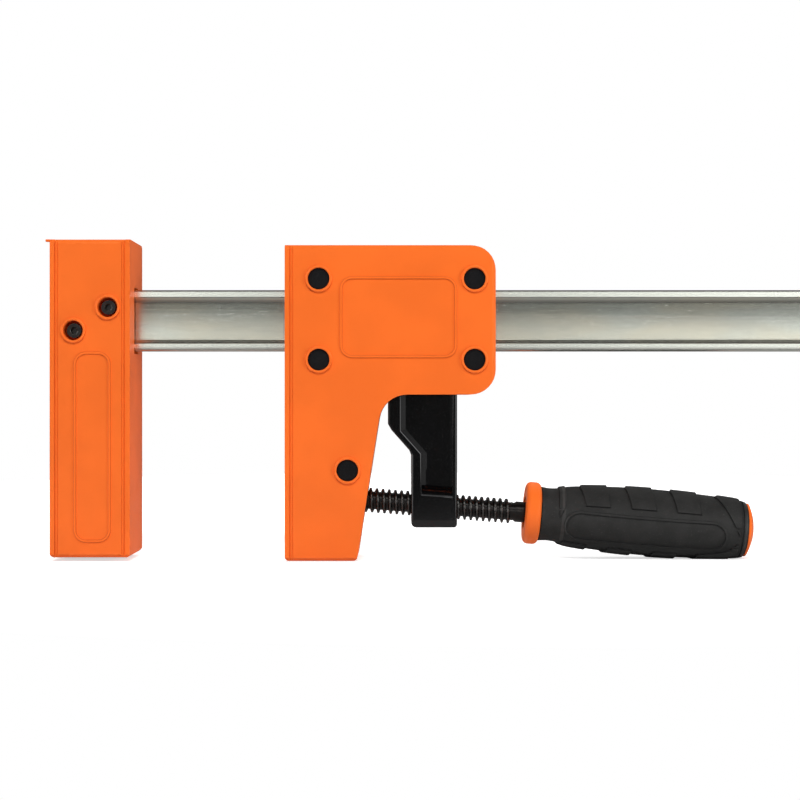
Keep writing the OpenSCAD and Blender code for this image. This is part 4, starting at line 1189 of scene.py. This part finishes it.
def add_lamp(name, place, size, power):
    """A rectangular soft lamp, aimed at the clamp. Gloss shows the world's soft boxes instead of it."""
    lamp = bpy.data.lights.new(name, "AREA")
    lamp.shape = "RECTANGLE"
    lamp.size, lamp.size_y = size
    lamp.energy = power
    holder = new_object(name, lamp)
    holder.location = place
    holder.rotation_euler = (Vector((0.16, 0, 0.02)) - place).to_track_quat("-Z", "Y").to_euler()
    holder.visible_glossy = False


def add_floor():
    """A pale disc under the jaws' tips that shows white to the camera and keeps the shadow."""
    bm = bmesh.new()
    middle = Vector((0.19, 0.32, FLOOR_Z))
    bmesh.ops.create_circle(bm, cap_ends=True, radius=0.6, segments=96, matrix=Matrix.Translation(middle))
    floor = new_object("floor", new_mesh(bm, "floor"))
    material, tree, _, shader = new_material("pale_floor")
    rays = tree.add("ShaderNodeLightPath").outputs
    tone = tree.mix(rays["Is Glossy Ray"], (0.85, 0.85, 0.85, 1), (0.45, 0.45, 0.45, 1))
    feed(tree, shader, Base_Color=tone, Roughness=0.9, Specular_IOR_Level=0.0,
         Emission_Color=tree.mix(rays["Is Camera Ray"], (0, 0, 0, 1), WHITE), Emission_Strength=0.62)
    floor.data.materials.append(material)


def studio_world(ambient):
    """Even light from all round, white where the camera looks, and for gloss a room with soft boxes."""
    world = bpy.data.worlds.new("studio")
    world.use_nodes = True
    world.node_tree.nodes.clear()
    tree = Tree(world.node_tree)
    rays = tree.add("ShaderNodeLightPath").outputs
    direction = tree.add("ShaderNodeTexCoord").outputs["Generated"]
    split = tree.add("ShaderNodeSeparateXYZ", None, {0: direction}).outputs
    sideways = tree.maths("ABSOLUTE", split["X"])
    depth, height = Number(tree, split["Y"]), Number(tree, split["Z"])
    side_boxes = sideways.over(0.42, 0.50) * (1 - sideways.over(0.85, 0.93))
    side_boxes = side_boxes * height.over(-0.45, -0.3) * (1 - height.over(0.4, 0.5))
    band = height.over(-0.16, 0.26) * (1 - height.over(0.34, 0.48)) * sideways.over(0.045, 0.09)
    overhead = height.over(0.56, 0.62) * (1 - height.over(0.76, 0.82)) * (1 - sideways.over(0.45, 0.6))
    front = 0.02 + 3.0 * side_boxes + 1.78 * band + 2.0 * overhead
    behind = depth.over(-0.15, 0.25)
    room = front * (1 - behind) + 0.24 * behind
    glossy = Number(tree, rays["Is Glossy Ray"])
    strength = glossy * room + (1 - glossy)
    level = tree.mix(glossy, rgba((ambient,) * 3), WHITE)
    shown = tree.mix(rays["Is Camera Ray"], level, WHITE)
    ground = tree.add("ShaderNodeBackground", None, {"Color": shown, "Strength": strength})
    tree.add("ShaderNodeOutputWorld", None, {"Surface": ground.outputs[0]})
    return world


class CLAMP_PT_looks(bpy.types.Panel):
    """Lists the clamp's pieces and their sizes."""

    bl_idname = "CLAMP_PT_looks"
    bl_label = "Bar clamp"
    bl_space_type = "VIEW_3D"
    bl_region_type = "UI"
    bl_category = "Clamp"

    def draw(self, context):
        for name, group in GROUPS.items():
            box = self.layout.box()
            box.label(text=group.__doc__)
            for key in group.__annotations__:
                box.prop(getattr(context.scene, name), key)
        for operator in OPERATORS:
            self.layout.operator(operator.bl_idname)


GROUPS = {
    "clamp_finish": Finish, "clamp_casings": Casings, "clamp_rail": RailShape, "clamp_arm": ArmShape,
    "clamp_thread": ThreadShape, "clamp_grip": GripShape, "clamp_stage": StageLook,
}
OPERATORS = (
    CLAMP_OT_stage, CLAMP_OT_rail, CLAMP_OT_end_stop, CLAMP_OT_casings, CLAMP_OT_pads, CLAMP_OT_fasteners,
    CLAMP_OT_inner_parts, CLAMP_OT_screw_arm, CLAMP_OT_spindle, CLAMP_OT_grip, CLAMP_OT_handle_ends,
)


def register():
    for kind in (*GROUPS.values(), *OPERATORS, CLAMP_PT_looks):
        bpy.utils.register_class(kind)
    for name, group in GROUPS.items():
        setattr(bpy.types.Scene, name, bpy.props.PointerProperty(type=group))


def unregister():
    for name in GROUPS:
        delattr(bpy.types.Scene, name)
    for kind in reversed((*GROUPS.values(), *OPERATORS, CLAMP_PT_looks)):
        bpy.utils.unregister_class(kind)


def main():
    register()
    for operator in OPERATORS:
        getattr(bpy.ops.clamp, operator.bl_idname.split(".")[1])()


if __name__ == "__main__":
    main()
